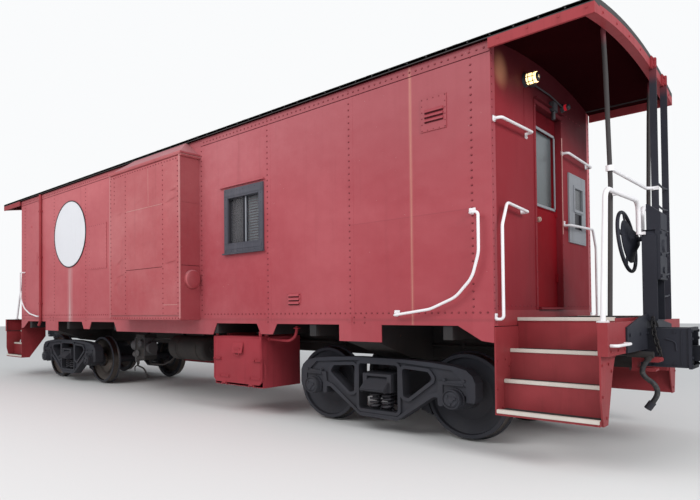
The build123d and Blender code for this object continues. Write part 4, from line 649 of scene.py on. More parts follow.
def glowing(name, colour, roughness, light, strength):
    """Glass with a lamp lit behind it."""
    material, tree = fresh_material(name)
    finish_with(tree, put(tree, "ShaderNodeBsdfPrincipled", {
        "Base Color": colour, "Roughness": roughness, "Emission Color": light,
        "Emission Strength": strength}).outputs[0])
    return material


lit_glass = glowing("lit glass", (0.9, 0.8, 0.6, 1), 0.25, (1.0, 0.68, 0.30, 1), 2.6)
red_glass = glowing("red glass", (0.16, 0.006, 0.010, 1), 0.15, (0.9, 0.03, 0.05, 1), 0.30)

worn_tread, tree = fresh_material("worn tread")
scoring = stretched_noise(tree, object_place(tree), (2, 60, 2), 3.0, 4)
finish_with(tree, put(tree, "ShaderNodeBsdfPrincipled", {
    "Base Color": mixed(tree, scoring, (0.075, 0.058, 0.048, 1), (0.17, 0.150, 0.138, 1)), "Metallic": 1.0,
    "Roughness": ramp(tree, scoring, 0.3, 0.7, 0.3, 0.55)}).outputs[0])
print("all finishes:", len(bpy.data.materials) - 1)

# %% [markdown]
# Each exact part keeps its shape here and gets its finish through its own material slots. The table says
# which finish belongs to which node. The longest name that fits wins, so that the roof's fascias don't get
# the roof's finish.

# %% Give the exact parts their finishes
FINISHES = {
    "side_wall": side_red, "bay": bay_red, "end_wall": end_red, "door_near": door_red, "door_far": door_red,
    "door_glass": door_pane, "roof": roof_black, "roof_fascias": deep_red, "roof_ladders": ladder_black,
    "smokejack": roof_black, "floor": deep_red, "draft_box": cast_black, "brake_beams": iron_grey,
    "underframe": under_black, "steps": deep_red, "end_sill": deep_red, "tool_box": tool_red,
    "coupler": cast_black, "knuckle": cast_black, "brake_columns": cast_black, "brake_wheel": cast_black,
    "brake_valve": under_black, "air_reservoir": under_black, "angle_cocks": under_black,
    "air_hose": hose_rubber, "hose_coupling": iron_grey, "platform_posts": post_grey,
    "platform_railings": rail_white, "end_grab": rail_white, "side_grab": rail_white,
    "platform_lamps": frame_black, "side_window_frames": window_grey, "side_window_glass": clear_glass,
    "end_window_plates": plate_grey, "side_pipe": deep_red, "side_frames": iron_grey, "bolster": iron_grey,
    "springs": iron_grey, "wheelset": iron_grey,
}
for name, node in nodes.items():
    fits = [key for key in FINISHES if name.startswith(key)]
    finish = FINISHES[max(fits, key=len)]
    for k in range(len(node.material_slots)):
        node.material_slots[k].material = finish
    if not node.material_slots:
        node.data.materials.append(finish)
print("finished nodes:", len(nodes))

# %% [markdown]
# Castings come out of sand with rounded edges. Drawing each rounding in the exact part would be slow, so
# the trucks, couplers and brake columns get a Bevel modifier here. A Weld modifier before it joins the
# corners that the solids keep apart, because a bevel needs edges with a face on both sides.

# %% Soft edges of the castings
SOFT_EDGES = {"side_frames": 0.007, "bolster": 0.006, "coupler": 0.007, "knuckle": 0.005, "draft_box": 0.004,
              "brake_columns": 0.004}
SAME_CORNER = 0.00005
for name, node in nodes.items():
    for start, wide in SOFT_EDGES.items():
        if name.startswith(start):
            joined = node.modifiers.new("joined corners", "WELD")
            joined.merge_threshold = SAME_CORNER
            soft = node.modifiers.new("soft edges", "BEVEL")
            soft.width = wide
            soft.segments = 2
            soft.limit_method = "ANGLE"
            soft.angle_limit = math.radians(40)
            soft.harden_normals = False
            print("soft edges:", name)

# %% [markdown]
# The brake hose hangs from the angle cock in a short S. It is one smooth curve through the control points
# of the exact part's route, with the coupling on its lower end. A curve keeps the hose's length easy to
# measure and its bends even, which a mesh drawn by hand wouldn't.

# %% Air hose
HOSE_Y = -0.420
HOSE_RADIUS = 0.021
HOSE_ROUTE = [(5.846, 0.850), (5.812, 0.794), (5.806, 0.734), (5.840, 0.690), (5.889, 0.658), (5.917, 0.606),
              (5.913, 0.544), (5.880, 0.492)]
hose_curve = bpy.data.curves.new("air_hose_curve", "CURVE")
hose_curve.dimensions = "3D"
line = hose_curve.splines.new("NURBS")
line.points.add(len(HOSE_ROUTE) - 1)
for point, (x, z) in zip(line.points, HOSE_ROUTE):
    point.co = (x, HOSE_Y, z, 1)
line.order_u = 3
line.use_endpoint_u = True
line.resolution_u = 12
hose = bpy.data.objects.new("rubber_hose", hose_curve)
scene.collection.objects.link(hose)
bpy.context.view_layer.update()
bare = bpy.data.meshes.new_from_object(hose)
spots = [vert.co for vert in bare.vertices]
hose_curve.bevel_depth = HOSE_RADIUS
hose_curve.bevel_resolution = 8
hose_curve.use_fill_caps = True
hose_curve.materials.append(hose_rubber)
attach(hose, "car")
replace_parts(hose, "air_hose")

# %% [markdown]
# Small fittings are built as meshes. A piece is drawn once, for the right side or the near end, and may be
# turned half round for its twin, because the car is the same both ways round. Edges sharper than 35 degrees
# stay sharp, the rest is shaded smooth.

# %% Make a piece of a drawn shape
HALF_TURN = Matrix.Rotation(math.pi, 4, "Z")
SHARP = math.radians(35)


def settle(name, shape, finish, body="car", twin=False, turn=False):
    """Makes a piece of the drawn shape, gives it a finish and lets it ride on a body."""
    mesh = bpy.data.meshes.new(name)
    if twin:
        copies = bmesh.ops.duplicate(shape, geom=shape.verts[:] + shape.edges[:] + shape.faces[:])["geom"]
        moved = [item for item in copies if isinstance(item, bmesh.types.BMVert)]
        bmesh.ops.transform(shape, matrix=HALF_TURN, verts=moved)
    if turn:
        bmesh.ops.transform(shape, matrix=HALF_TURN, verts=shape.verts[:])
    shape.to_mesh(mesh)
    shape.free()
    mesh.polygons.foreach_set("use_smooth", [True] * len(mesh.polygons))
    mesh.set_sharp_from_angle(angle=SHARP)
    mesh.materials.append(finish)
    piece = bpy.data.objects.new(name, mesh)
    scene.collection.objects.link(piece)
    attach(piece, body)
    print(f"{name}: {len(mesh.polygons)} faces, on {body}")
    return piece


# %% [markdown]
# Nearly everything on the car is made of bars, plates, pipes and bolts. These helpers draw them into an
# open shape: a box with soft edges, a round bar, a pipe through points, and a corner rounded before the
# pipe follows it.

# %% Bars, plates and pipes


def tilted(degrees, axis="X"):
    """A turn about an axis."""
    return Matrix.Rotation(math.radians(degrees), 4, axis)


def block(shape, centre, size, turn=None, soft=0.0):
    """A box with slightly rounded edges."""
    made = bmesh.ops.create_cube(shape, size=1.0)["verts"]
    bmesh.ops.scale(shape, vec=size, verts=made)
    if soft:
        edges = list(dict.fromkeys(edge for vert in made for edge in vert.link_edges))
        rounded = bmesh.ops.bevel(shape, geom=edges, offset=soft, segments=2, affect="EDGES",
                                  clamp_overlap=True)
        corners = [vert for face in rounded["faces"] for vert in face.verts]
        made = list(dict.fromkeys(corners + [vert for vert in made if vert.is_valid]))
    bmesh.ops.transform(shape, matrix=Matrix.Translation(centre) @ (turn or Matrix()), verts=made)


def rod(shape, start, end, radius, sides=14, end_radius=None):
    """A round bar, or a cone, between two points."""
    start, end = Vector(start), Vector(end)
    along = end - start
    place = Matrix.Translation((start + end) / 2) @ along.to_track_quat("Z", "Y").to_matrix().to_4x4()
    last = radius if end_radius is None else end_radius
    bmesh.ops.create_cone(shape, cap_ends=True, segments=sides, radius1=radius, radius2=last,
                          depth=along.length, matrix=place)


def turns(count, start=0.0):
    """Angles all the way round, evenly spaced."""
    return [start + math.tau * k / count for k in range(count)]


def tube(shape, points, radius, sides=10, closed=False):
    """A round tube through points, its ends capped."""
    points = [Vector(p) for p in points]
    count = len(points)
    side = None
    rings = []
    for k, here in enumerate(points):
        before = points[k - 1] if k or closed else points[0]
        after = points[(k + 1) % count] if k < count - 1 or closed else points[-1]
        along = (after - before).normalized()
        if side is None:
            side = along.orthogonal().normalized()
        side = (side - along * side.dot(along)).normalized()
        other = along.cross(side)
        rings.append([shape.verts.new(here + radius * (math.cos(a) * side + math.sin(a) * other))
                      for a in turns(sides)])
    pairs = list(zip(rings, rings[1:])) + ([(rings[-1], rings[0])] if closed else [])
    for first, second in pairs:
        for j in range(sides):
            shape.faces.new((first[j], first[(j + 1) % sides], second[(j + 1) % sides], second[j]))
    if not closed:
        shape.faces.new(reversed(rings[0]))
        shape.faces.new(rings[-1])


def bend(points, radius, steps=5):
    """Rounds the corners of a line of straight runs."""
    points = [Vector(p) for p in points]
    rounded = [points[0]]
    for before, here, after in zip(points, points[1:], points[2:]):
        cut = min(radius, (here - before).length * 0.45, (after - here).length * 0.45)
        first = here + (before - here).normalized() * cut
        last = here + (after - here).normalized() * cut
        for k in range(steps + 1):
            t = k / steps
            rounded.append(first.lerp(here, t).lerp(here.lerp(last, t), t))
    return rounded + [points[-1]]


def hoop(shape, centre, radius, across, up, wire, count, sides):
    """A closed ring of round wire."""
    around = [centre + radius * (math.cos(a) * across + math.sin(a) * up) for a in turns(count)]
    tube(shape, around, wire, sides, closed=True)


# %% [markdown]
# Bolts and rivets hold the car together and catch the light in rows. A spot is a point with the way out of
# the sheet. A bolt is a hexagon on a washer. A rivet head has just three rings of points, since hundreds of
# them share one mesh.

# %% Bolts and rivets
RIVET_SIDES = 8
RIVET_RINGS = ((1.0, -0.05), (0.72, 0.42))
RIVET_CROWN = 0.58


def row(start, end, pitch, out=OUT):
    """Spots along a line, about a pitch apart, with both ends."""
    start, end = Vector(start), Vector(end)
    count = max(1, round((end - start).length / pitch))
    return [(start.lerp(end, k / count), out) for k in range(count + 1)]


def hexes(shape, spots, size=0.014, high=0.010, washer=True):
    """Hexagon bolt heads with washers."""
    for where, out in spots:
        where, out = Vector(where), Vector(out).normalized()
        if washer:
            rod(shape, where - out * 0.002, where + out * 0.003, size * 1.35, 12)
        rod(shape, where, where + out * high, size, 6)


def rivets(name, spots, finish, size=0.0085, body="car", twin=True):
    """Round rivet heads as one mesh."""
    shape = bmesh.new()
    for where, out in spots:
        where, out = Vector(where), Vector(out).normalized()
        side = out.orthogonal().normalized()
        other = out.cross(side)
        around = [math.cos(a) * side + math.sin(a) * other for a in turns(RIVET_SIDES)]
        rings = [[shape.verts.new(where + size * (reach * way + lift * out)) for way in around]
                 for reach, lift in RIVET_RINGS]
        crown = shape.verts.new(where + out * size * RIVET_CROWN)
        for j in range(RIVET_SIDES):
            k = (j + 1) % RIVET_SIDES
            shape.faces.new((rings[0][j], rings[0][k], rings[1][k], rings[1][j]))
            shape.faces.new((rings[1][j], rings[1][k], crown))
    print(name, "count:", len(spots) * (2 if twin else 1))
    return settle(name, shape, finish, body=body, twin=twin)


# %% [markdown]
# The side is made of sheets about 1.2 m wide, held to the frame by one column of rivets at each post, with
# a row along the sill and one along the letterboard under the eave. The joints could be lines in the paint,
# but from the side they catch the light, so each is a thin raised strip.

# %% Side seams
SEAM_XS = (-4.754, -3.424, -2.210, -0.882, 0.982, 2.224, 3.424, 4.754)
WALL_LOW, BAND_LOW, WALL_HIGH = 1.155, 3.535, 3.628

seams = bmesh.new()
for x0, x1 in ((-4.928, -0.87), (0.97, 4.928)):
    block(seams, ((x0 + x1) / 2, SIDE - 0.0015, (BAND_LOW + WALL_HIGH) / 2),
          (x1 - x0, 0.007, WALL_HIGH - BAND_LOW), soft=0.0015)
for x in SEAM_XS[1:-1]:
    block(seams, (x + 0.017, SIDE, (WALL_LOW + BAND_LOW) / 2),
          (0.070, 0.0024, BAND_LOW - WALL_LOW), soft=0.0008)
settle("side_seams", seams, side_red, twin=True)
# A dark line of painted shadow runs under the letterboard's lower edge.
shade = bmesh.new()
for x0, x1 in ((-4.928, -0.90), (0.99, 4.928)):
    block(shade, ((x0 + x1) / 2, SIDE - 0.001, BAND_LOW - 0.003), (x1 - x0, 0.004, 0.0045))
settle("band_shadow_line", shade, shade_dark, twin=True)

# %% [markdown]
# Each rivet head is two-toned: the paint above, and below it a dark crescent of painted shadow where its
# surface turns down. One joint near the end was welded later and shows as a pale strip without rivets.

# %% Side rivets and the weld
RIVET_PITCH = 0.0665
POST_LOW, POST_HIGH = 1.325, 3.60
SILL_ROW, BAND_ROW = 1.272, 3.575
FOOT_XS = (-3.60, -3.47, 3.47, 3.60, -2.21, 2.22)

spots = []
for x in SEAM_XS:
    spots += row((x, SIDE - 0.001, POST_LOW), (x, SIDE - 0.001, POST_HIGH), RIVET_PITCH)
for x0, x1 in ((-4.88, -0.94), (1.04, 4.88)):
    spots += row((x0, SIDE, SILL_ROW), (x1, SIDE, SILL_ROW), RIVET_PITCH)
    spots += row((x0, SIDE - 0.005, BAND_ROW), (x1, SIDE - 0.005, BAND_ROW), RIVET_PITCH)
for x in FOOT_XS:
    spots += row((x, SIDE, 1.175), (x, SIDE, 1.230), 0.055)
rivets("side_rivets", spots, rivet_red, size=0.0112)

weld = bmesh.new()
block(weld, (WELD_X, SIDE - 0.0005, 2.345), (0.009, 0.003, 2.37), soft=0.001)
settle("weld_strip", weld, weld_pink, twin=True)

# %% [markdown]
# Two louvred panels let air out of the cabin and its heater. Each louvre was pressed out of the plate: its
# top edge is still joined, its lower edge stands out and leaves a dark slot. Four corner points at each end
# make one louvre, and a thin dark block below it makes the slot, since a real hole would show nothing but
# shade.

# %% Louvres and the plated window
PLATE = SIDE - 0.008
LOUVRE_TALL, LOUVRE_OUT, LOUVRE_PITCH = 0.030, 0.017, 0.0435


def louvre(shape, gap, x, top, wide):
    """A pressed louvre and the dark slot under it."""
    low = top - LOUVRE_TALL
    profile = ((0.0, top), (LOUVRE_OUT * 0.75, top - LOUVRE_TALL * 0.45), (LOUVRE_OUT, low), (0.0, low))
    ends = [[shape.verts.new((x + way * wide / 2, PLATE - reach, z)) for reach, z in profile]
            for way in (-1, 1)]
    for j in range(4):
        k = (j + 1) % 4
        shape.faces.new((ends[0][j], ends[0][k], ends[1][k], ends[1][j]))
    shape.faces.new(reversed(ends[0]))
    shape.faces.new(ends[1])
    block(gap, (x, PLATE - 0.003, low - 0.006), (wide, 0.006, 0.011))


louvres, slots = bmesh.new(), bmesh.new()
for x, top, wide in ((4.4015, 3.171, 0.186), (2.640, 1.498, 0.156)):
    for k in range(3):
        louvre(louvres, slots, x, top - LOUVRE_PITCH * k, wide)
settle("louvres", louvres, side_red, twin=True)
settle("louvre_slots", slots, shade_dark, twin=True)

PLATES = ((4.395, 3.123, 0.234, 0.292, 0.058), (2.640, 1.438, 0.178, 0.098, 0.045),
          (-1.790, 2.425, 0.548, 0.728, RIVET_PITCH))
spots = []
for x, z, wide, tall, pitch in PLATES:
    for edge in (-1, 1):
        upright, level = x + edge * wide / 2, z + edge * tall / 2
        spots += row((upright, PLATE, z - tall / 2), (upright, PLATE, z + tall / 2), pitch)
        spots += row((x - wide / 2, PLATE, level), (x + wide / 2, PLATE, level), pitch)
rivets("plate_rivets", spots, rivet_red, size=0.0065)

# %% [markdown]
# The round sign on the side is left blank: a white sheet disc with a rolled rim. The rim is a ring of round
# wire, so that it has a real shadow.

# %% Blank disc
DISC = Vector((-2.80, SIDE, 2.735))
DISC_RADIUS, RIM_RADIUS = 0.592, 0.596
disc = bmesh.new()
rod(disc, DISC + OUT * 0.001, DISC + OUT * 0.0075, DISC_RADIUS, 96)
settle("blank_disc", disc, disc_white, twin=True)
rim = bmesh.new()
hoop(rim, DISC + OUT * 0.006, RIM_RADIUS, FRONT, UP, 0.010, 96, 8)
settle("disc_rim", rim, frame_black, twin=True)

# %% [markdown]
# The bay is a box of flat sheets with angle irons in its corners. Its windows were plated over. The irons
# could be part of the exact bay, but they are so thin that only their edges show: a pale line of painted
# highlight along each edge, and a dark line of painted shadow below each joint.

# %% Bay
NEAR_FACE, FAR_FACE = 0.935, -0.835
BAY_MID_X, BAY_MID_Y = 0.05, (BAY + SIDE) / 2
bay_bits, pale_edges, dark_lines = bmesh.new(), bmesh.new(), bmesh.new()
for x, way in ((NEAR_FACE, 1), (FAR_FACE, -1)):
    block(pale_edges, (x - way * 0.010, BAY - 0.0075, 2.305), (0.026, 0.017, 2.18), soft=0.004)
    for z in (2.768, 1.933):
        block(bay_bits, (x + way * 0.001, BAY_MID_Y, z), (0.007, 0.30, 0.018), soft=0.002)
    block(dark_lines, (x + way * 0.001, BAY_MID_Y, 1.921), (0.003, 0.30, 0.006))
    block(bay_bits, (x + way * 0.001, BAY_MID_Y, 1.224), (0.008, 0.315, 0.05), soft=0.0015)
    block(bay_bits, (x + way * 0.014, BAY_MID_Y - 0.010, 3.372), (0.032, 0.33, 0.022), soft=0.004)
    block(pale_edges, (x + way * 0.022, BAY_MID_Y - 0.01, 3.386), (0.020, 0.335, 0.007), soft=0.002)
block(bay_bits, (BAY_MID_X, BAY - 0.0065, 1.224), (1.774, 0.017, 0.05), soft=0.004)
block(pale_edges, (BAY_MID_X, BAY - 0.013, 1.252), (1.770, 0.010, 0.006), soft=0.001)
block(bay_bits, (BAY_MID_X, BAY - 0.007, 3.392), (1.80, 0.028, 0.020), soft=0.004)
block(pale_edges, (BAY_MID_X, BAY - 0.012, 3.404), (1.80, 0.018, 0.006), soft=0.002)
settle("bay_angles", bay_bits, bay_red, twin=True)
settle("bay_pale_edges", pale_edges, edge_highlight, twin=True)
settle("bay_dark_lines", dark_lines, shade_dark, twin=True)

# %% [markdown]
# A round cover closes the hole of a lamp on the bay's near face. It was spun from sheet, so it is a stack
# of short cones, each a little narrower than the one below.

# %% Lamp hole cover
COVER = Vector((NEAR_FACE, -1.520, 1.738))
COVER_PROFILE = ((0.0, 0.126), (0.030, 0.124), (0.044, 0.113), (0.055, 0.088), (0.061, 0.050))
cover_shape = bmesh.new()
for (low, wide), (high, narrow) in zip(COVER_PROFILE, COVER_PROFILE[1:]):
    rod(cover_shape, COVER + FRONT * low, COVER + FRONT * high, wide, 48, narrow)
settle("lamp_hole_cover", cover_shape, bay_red, twin=True)

# %% [markdown]
# Knocks of many years dented the bay's outer sheet. A bump in the material could draw them, but seen along
# the side a dent changes the outline of the light, so a skin over the sheet carries them as real shape: a
# few hollows with creases, on top of the slow wave of a thin sheet between its rivet columns.

# %% Depth of the dents
DENTS = ((0.800, 2.930, 0.075, 0.036, 0.20, 0.016), (0.744, 2.800, 0.120, 0.040, 0.22, 0.016),
         (0.730, 1.963, 0.110, 0.040, 0.10, 0.016), (-0.560, 2.047, 0.075, 0.042, 0.53, 0.016),
         (-0.520, 1.840, 0.095, 0.052, 0.20, 0.016), (-0.650, 1.720, 0.060, 0.090, 0.60, 0.010),
         (0.840, 1.714, 0.016, 0.016, 0.00, 0.010), (0.640, 2.640, 0.060, 0.110, 0.30, 0.007),
         (-0.560, 2.760, 0.080, 0.060, 0.20, 0.009), (-0.480, 2.420, 0.040, 0.200, 0.00, 0.006),
         (-0.050, 2.860, 0.100, 0.090, 0.30, 0.008), (0.100, 2.240, 0.220, 0.160, 0.20, 0.005),
         (0.150, 1.560, 0.240, 0.120, 0.10, 0.006))
BAY_COLUMNS = (-0.795, -0.385, 0.555, 0.893)
COLUMN_REACH = 0.045
CREASE, SLOPE = 0.26, 1.5
WAVE_DEEP = 0.0035
SKIN_OUT, DEEPEST, HIGHEST = 0.0150, 0.0140, -0.001


def dented(x, z):
    """How deep the sheet is pressed in at a place: a sharp crease above each hollow, a slow slope below."""
    depth = 0.0
    for dx, dz, wide, tall, turn, deep in DENTS:
        u = ((x - dx) * math.cos(turn) + (z - dz) * math.sin(turn)) / wide
        v = (-(x - dx) * math.sin(turn) + (z - dz) * math.cos(turn)) / tall
        v /= CREASE if v > 0 else SLOPE
        depth += deep * math.exp(-1.1 * (u * u + v * v))
    free = 1.0
    for column in BAY_COLUMNS:
        free *= 1.0 - math.exp(-((x - column) / COLUMN_REACH) ** 2)
    wave = WAVE_DEEP * free * (0.5 + 0.5 * math.sin(5.1 * z + 2.0 * x))
    return min(max(depth * free + wave, HIGHEST), DEEPEST)


def skin_at(x, z):
    """A place on the skin's outer face."""
    return Vector((x, BAY - SKIN_OUT + dented(x, z), z))


print("deepest dent", round(max(dented(x, z) for x, z, *_ in DENTS), 4), "m")

# %% [markdown]
# The skin is a grid of points, moved in by the depth at each place. Rows lie close together only where a
# crease needs them. Its border is folded back to the exact sheet, so that no gap shows at its edge.

# %% Dented skin of the bay
SKIN_X, SKIN_Z = (-0.820, 0.920), (1.262, 3.362)
SKIN_STEP, FINE_STEP, COARSE_STEP = 0.0105, 0.0045, 0.0150
CREASE_HEIGHTS = (2.930, 2.800, 1.963, 2.047, 1.840, 1.714)
CREASE_REACH = 0.045

skin_wide = SKIN_X[1] - SKIN_X[0]
across = round(skin_wide / SKIN_STEP)
heights = [SKIN_Z[0]]
while heights[-1] < SKIN_Z[1] - FINE_STEP:
    near_crease = min(abs(heights[-1] - z) for z in CREASE_HEIGHTS) < CREASE_REACH
    heights.append(min(heights[-1] + (FINE_STEP if near_crease else COARSE_STEP), SKIN_Z[1]))
down = len(heights) - 1

skin = bmesh.new()
grid = [[skin.verts.new(skin_at(SKIN_X[0] + skin_wide * i / across, z)) for i in range(across + 1)]
        for z in heights]
for j in range(down):
    for i in range(across):
        skin.faces.new((grid[j][i], grid[j][i + 1], grid[j + 1][i + 1], grid[j + 1][i]))
border = [grid[0][i] for i in range(across + 1)] + [grid[j][across] for j in range(1, down + 1)]
border += [grid[down][i] for i in range(across - 1, -1, -1)] + [grid[j][0] for j in range(down - 1, 0, -1)]
inner = [skin.verts.new((vert.co.x, BAY - 0.0002, vert.co.z)) for vert in border]
for k in range(len(border)):
    after = (k + 1) % len(border)
    skin.faces.new((border[after], border[k], inner[k], inner[after]))
settle("bay_skin", skin, bay_red, twin=True)

# %% [markdown]
# Seams and rivets follow the dented skin, because they were there before the knocks: each of their points
# asks the skin for its place.

# %% Seams and rivets on the skin
SEAM_STEPS = 24
# The pale seams are a painted highlight, and the dark seam under the window plate is a painted shadow.
skin_seams, skin_shades = bmesh.new(), bmesh.new()
for x0, x1, z, kind in ((-0.37, 0.54, 2.778, skin_seams), (-0.37, 0.54, 1.918, skin_shades),
                        (0.57, 0.88, 1.40, skin_seams)):
    tube(kind, [skin_at(x0 + (x1 - x0) * k / SEAM_STEPS, z) for k in range(SEAM_STEPS + 1)], 0.0035, 6)
tube(skin_seams, [skin_at(0.205, 2.79 + 0.53 * k / SEAM_STEPS) for k in range(SEAM_STEPS + 1)], 0.0022, 6)
settle("bay_skin_seams", skin_seams, pale_seam, twin=True)
settle("bay_skin_shades", skin_shades, shade_dark, twin=True)

rows = row((-0.70, BAY, 2.95), (-0.70, BAY, 3.33), RIVET_PITCH)
for x in BAY_COLUMNS:
    rows += row((x, BAY, 1.29), (x, BAY, 3.30), RIVET_PITCH)
rows += row((-0.78, BAY, 3.34), (0.86, BAY, 3.34), RIVET_PITCH)
spots = [(skin_at(place.x, place.z), out) for place, out in rows]
spots += row((-0.80, BAY - 0.0148, 1.222), (0.90, BAY - 0.0148, 1.222), RIVET_PITCH)
rivets("bay_rivets", spots, rivet_red, size=0.0105)

# %% [markdown]
# The side window has two panes in a grey metal frame, held by screws, with a ledge below and a drip cap
# above. The exact part has the frame itself, and these thin strips give it the steps that catch the light.

# %% Window trim
WINDOW_X, WINDOW_Z = (1.465, 2.165), (2.037, 2.862)
WINDOW_MID_X, PANE_MID_Z = 1.815, 2.454
WINDOW_FACE = -1.4043
TRIM_Y, GLASS_Y = -1.402, -1.362
SCREW_IN, SCREW_PITCH = 0.03, 0.105

trim = bmesh.new()
block(trim, (WINDOW_MID_X, WINDOW_FACE - 0.006, WINDOW_Z[0] - 0.004), (0.74, 0.036, 0.018), soft=0.003)
for x in (1.531, 2.099):
    block(trim, (x, TRIM_Y, PANE_MID_Z), (0.012, 0.010, 0.60), soft=0.002)
for z in (2.160, 2.747):
    block(trim, (WINDOW_MID_X, TRIM_Y, z), (0.572, 0.010, 0.012), soft=0.002)
for z in (2.112, 2.790):
    block(trim, (WINDOW_MID_X, WINDOW_FACE - 0.002, z), (0.66, 0.006, 0.050), soft=0.002)
settle("window_trim", trim, window_grey, twin=True)
stile = bmesh.new()
block(stile, (1.828, GLASS_Y - 0.0005, PANE_MID_Z), (0.022, 0.006, 0.574), soft=0.002)
settle("window_stile", stile, plate_grey, twin=True)
# The black strips at the panes' edges are painted shade, the dark of the window's deep reveal.
reveal = bmesh.new()
for x, wide in ((1.5355, 0.004), (2.0945, 0.004), (1.7965, 0.010)):
    block(reveal, (x, GLASS_Y, PANE_MID_Z), (wide, 0.034, 0.578))
settle("window_reveal", reveal, frame_black, twin=True)

left, right_edge = WINDOW_X[0] + SCREW_IN, WINDOW_X[1] - SCREW_IN
spots = []
for z in (WINDOW_Z[0] + SCREW_IN, WINDOW_Z[1] - SCREW_IN):
    spots += row((left, WINDOW_FACE, z), (right_edge, WINDOW_FACE, z), SCREW_PITCH)
for x in (left, right_edge):
    spots += row((x, WINDOW_FACE, WINDOW_Z[0] + 0.13), (x, WINDOW_FACE, WINDOW_Z[1] - 0.13), SCREW_PITCH)
rivets("window_screws", spots, frame_black, size=0.006)

# %% [markdown]
# Behind the panes hang a creased curtain on the left and a slatted blind on the right. The curtain is
# cloth, so it could be simulated, but it hangs still behind dusty glass. Three sine waves along its width
# give the uneven folds of thin cloth, and they spread a little towards the top.

# %% Curtain and blind
FOLD_STEPS, CURTAIN_ROWS = 90, 8
CURTAIN_X, CURTAIN_Y, CURTAIN_LOW = 1.537, -1.325, 2.166
CURTAIN_WIDE, ROW_TALL = 0.260, 0.072
SLATS, SLAT_PITCH, SLAT_LOW, SLAT_TILT = 17, 0.0333, 2.184, -24

curtain = bmesh.new()
folds = []
for k in range(FOLD_STEPS + 1):
    x = CURTAIN_X + CURTAIN_WIDE * k / FOLD_STEPS
    depth = 0.006 * math.sin(62.0 * x + 1.2 * math.sin(19.0 * x)) + 0.002 * math.sin(140.0 * x)
    spread = 0.0006 * math.sin(33.0 * x)
    folds.append([curtain.verts.new((x, CURTAIN_Y + depth + spread * j, CURTAIN_LOW + ROW_TALL * j))
                  for j in range(CURTAIN_ROWS + 1)])
for first, second in zip(folds, folds[1:]):
    for j in range(CURTAIN_ROWS):
        curtain.faces.new((first[j], second[j], second[j + 1], first[j + 1]))
settle("window_curtain", curtain, curtain_cloth, twin=True)

blind = bmesh.new()
for k in range(SLATS):
    middle = (1.965, -1.322, SLAT_LOW + SLAT_PITCH * k)
    block(blind, middle, (0.256, 0.004, 0.030), tilted(SLAT_TILT), soft=0.001)
for x in (1.88, 2.05):
    block(blind, (x, -1.3275, PANE_MID_Z), (0.003, 0.002, 0.57))
settle("window_blind", blind, blind_slat, twin=True)

# %% [markdown]
# The end wall shows the rivets that hold its sheet to the corner posts, and the frame of its door, which is
# made of angle irons. Thin strips with soft edges stand for the irons' flanges.

# %% End walls
DOOR_MID = 0.0135
JAMBS = (-0.372, 0.398)
end_bits = bmesh.new()
for y in JAMBS:
    block(end_bits, (END + 0.002, y, 2.32), (0.012, 0.046, 2.05), soft=0.003)
block(end_bits, (END + 0.003, DOOR_MID, 3.352), (0.016, 0.82, 0.046), soft=0.003)
block(end_bits, (END + 0.01, DOOR_MID, 3.385), (0.05, 0.80, 0.008), soft=0.002)
block(end_bits, (END + 0.006, DOOR_MID, 1.305), (0.05, 0.70, 0.022), soft=0.003)
block(end_bits, (END + 0.001, -0.62, 3.20), (0.004, 0.03, 0.42), soft=0.001)
settle("end_wall_angles", end_bits, end_red, twin=True)

spots = []
for y in (-1.352, 1.352):
    spots += row((END, y, 1.24), (END, y, 3.52), RIVET_PITCH, FRONT)
for y in JAMBS:
    spots += row((END + 0.008, y, 1.34), (END + 0.008, y, 3.30), 0.16, FRONT)
for y0, y1, z, pitch in ((-1.28, -0.42, 1.33, 0.10), (0.45, 1.28, 1.33, 0.10), (0.46, 1.26, 3.42, 0.12)):
    spots += row((END, y0, z), (END, y1, z), pitch, FRONT)
rivets("end_wall_rivets", spots, rivet_red, size=0.0085)
jamb = bmesh.new()
block(jamb, (END + 0.010, 0.386, 2.62), (0.006, 0.016, 1.04), soft=0.002)
settle("door_jamb_edge", jamb, pale_seam, twin=True)

# %% [markdown]
# The window beside the door was plated over and keeps one small pane with a slot below it. The plate itself
# is an exact part. Its rivets are grey as it is, and the pane is a thin sheet of dusty glass.

# %% Plated end window
PLATE_FACE, PANE_Y = 4.9465, 0.890
PLATE_Y, PLATE_Z = (0.605, 1.135), (2.055, 2.785)
spots = []
for y in PLATE_Y:
    spots += row((PLATE_FACE, y, PLATE_Z[0]), (PLATE_FACE, y, PLATE_Z[1]), 0.075, FRONT)
for z in PLATE_Z:
    spots += row((PLATE_FACE, PLATE_Y[0], z), (PLATE_FACE, PLATE_Y[1], z), 0.075, FRONT)
rivets("end_plate_rivets", spots, plate_grey, size=0.006)
pane_bits = bmesh.new()
block(pane_bits, (4.9365, PANE_Y, 2.533), (0.004, 0.264, 0.234))
settle("end_window_pane", pane_bits, dusty_glass, twin=True)
# The slot is a black block: painted shade where the slot's depth is dark.
slot_bits = bmesh.new()
block(slot_bits, (4.938, PANE_Y, 2.283), (0.003, 0.244, 0.174))
block(slot_bits, (4.946, 0.955, 2.283), (0.018, 0.012, 0.168))
settle("end_window_slot", slot_bits, frame_black, twin=True)

# %% [markdown]
# The door rides on its own body, so its hinge leaves, kick plate, pane frame and knob have to swing with
# it. That is why each door has its own pieces, where the walls share one mesh for both ends.

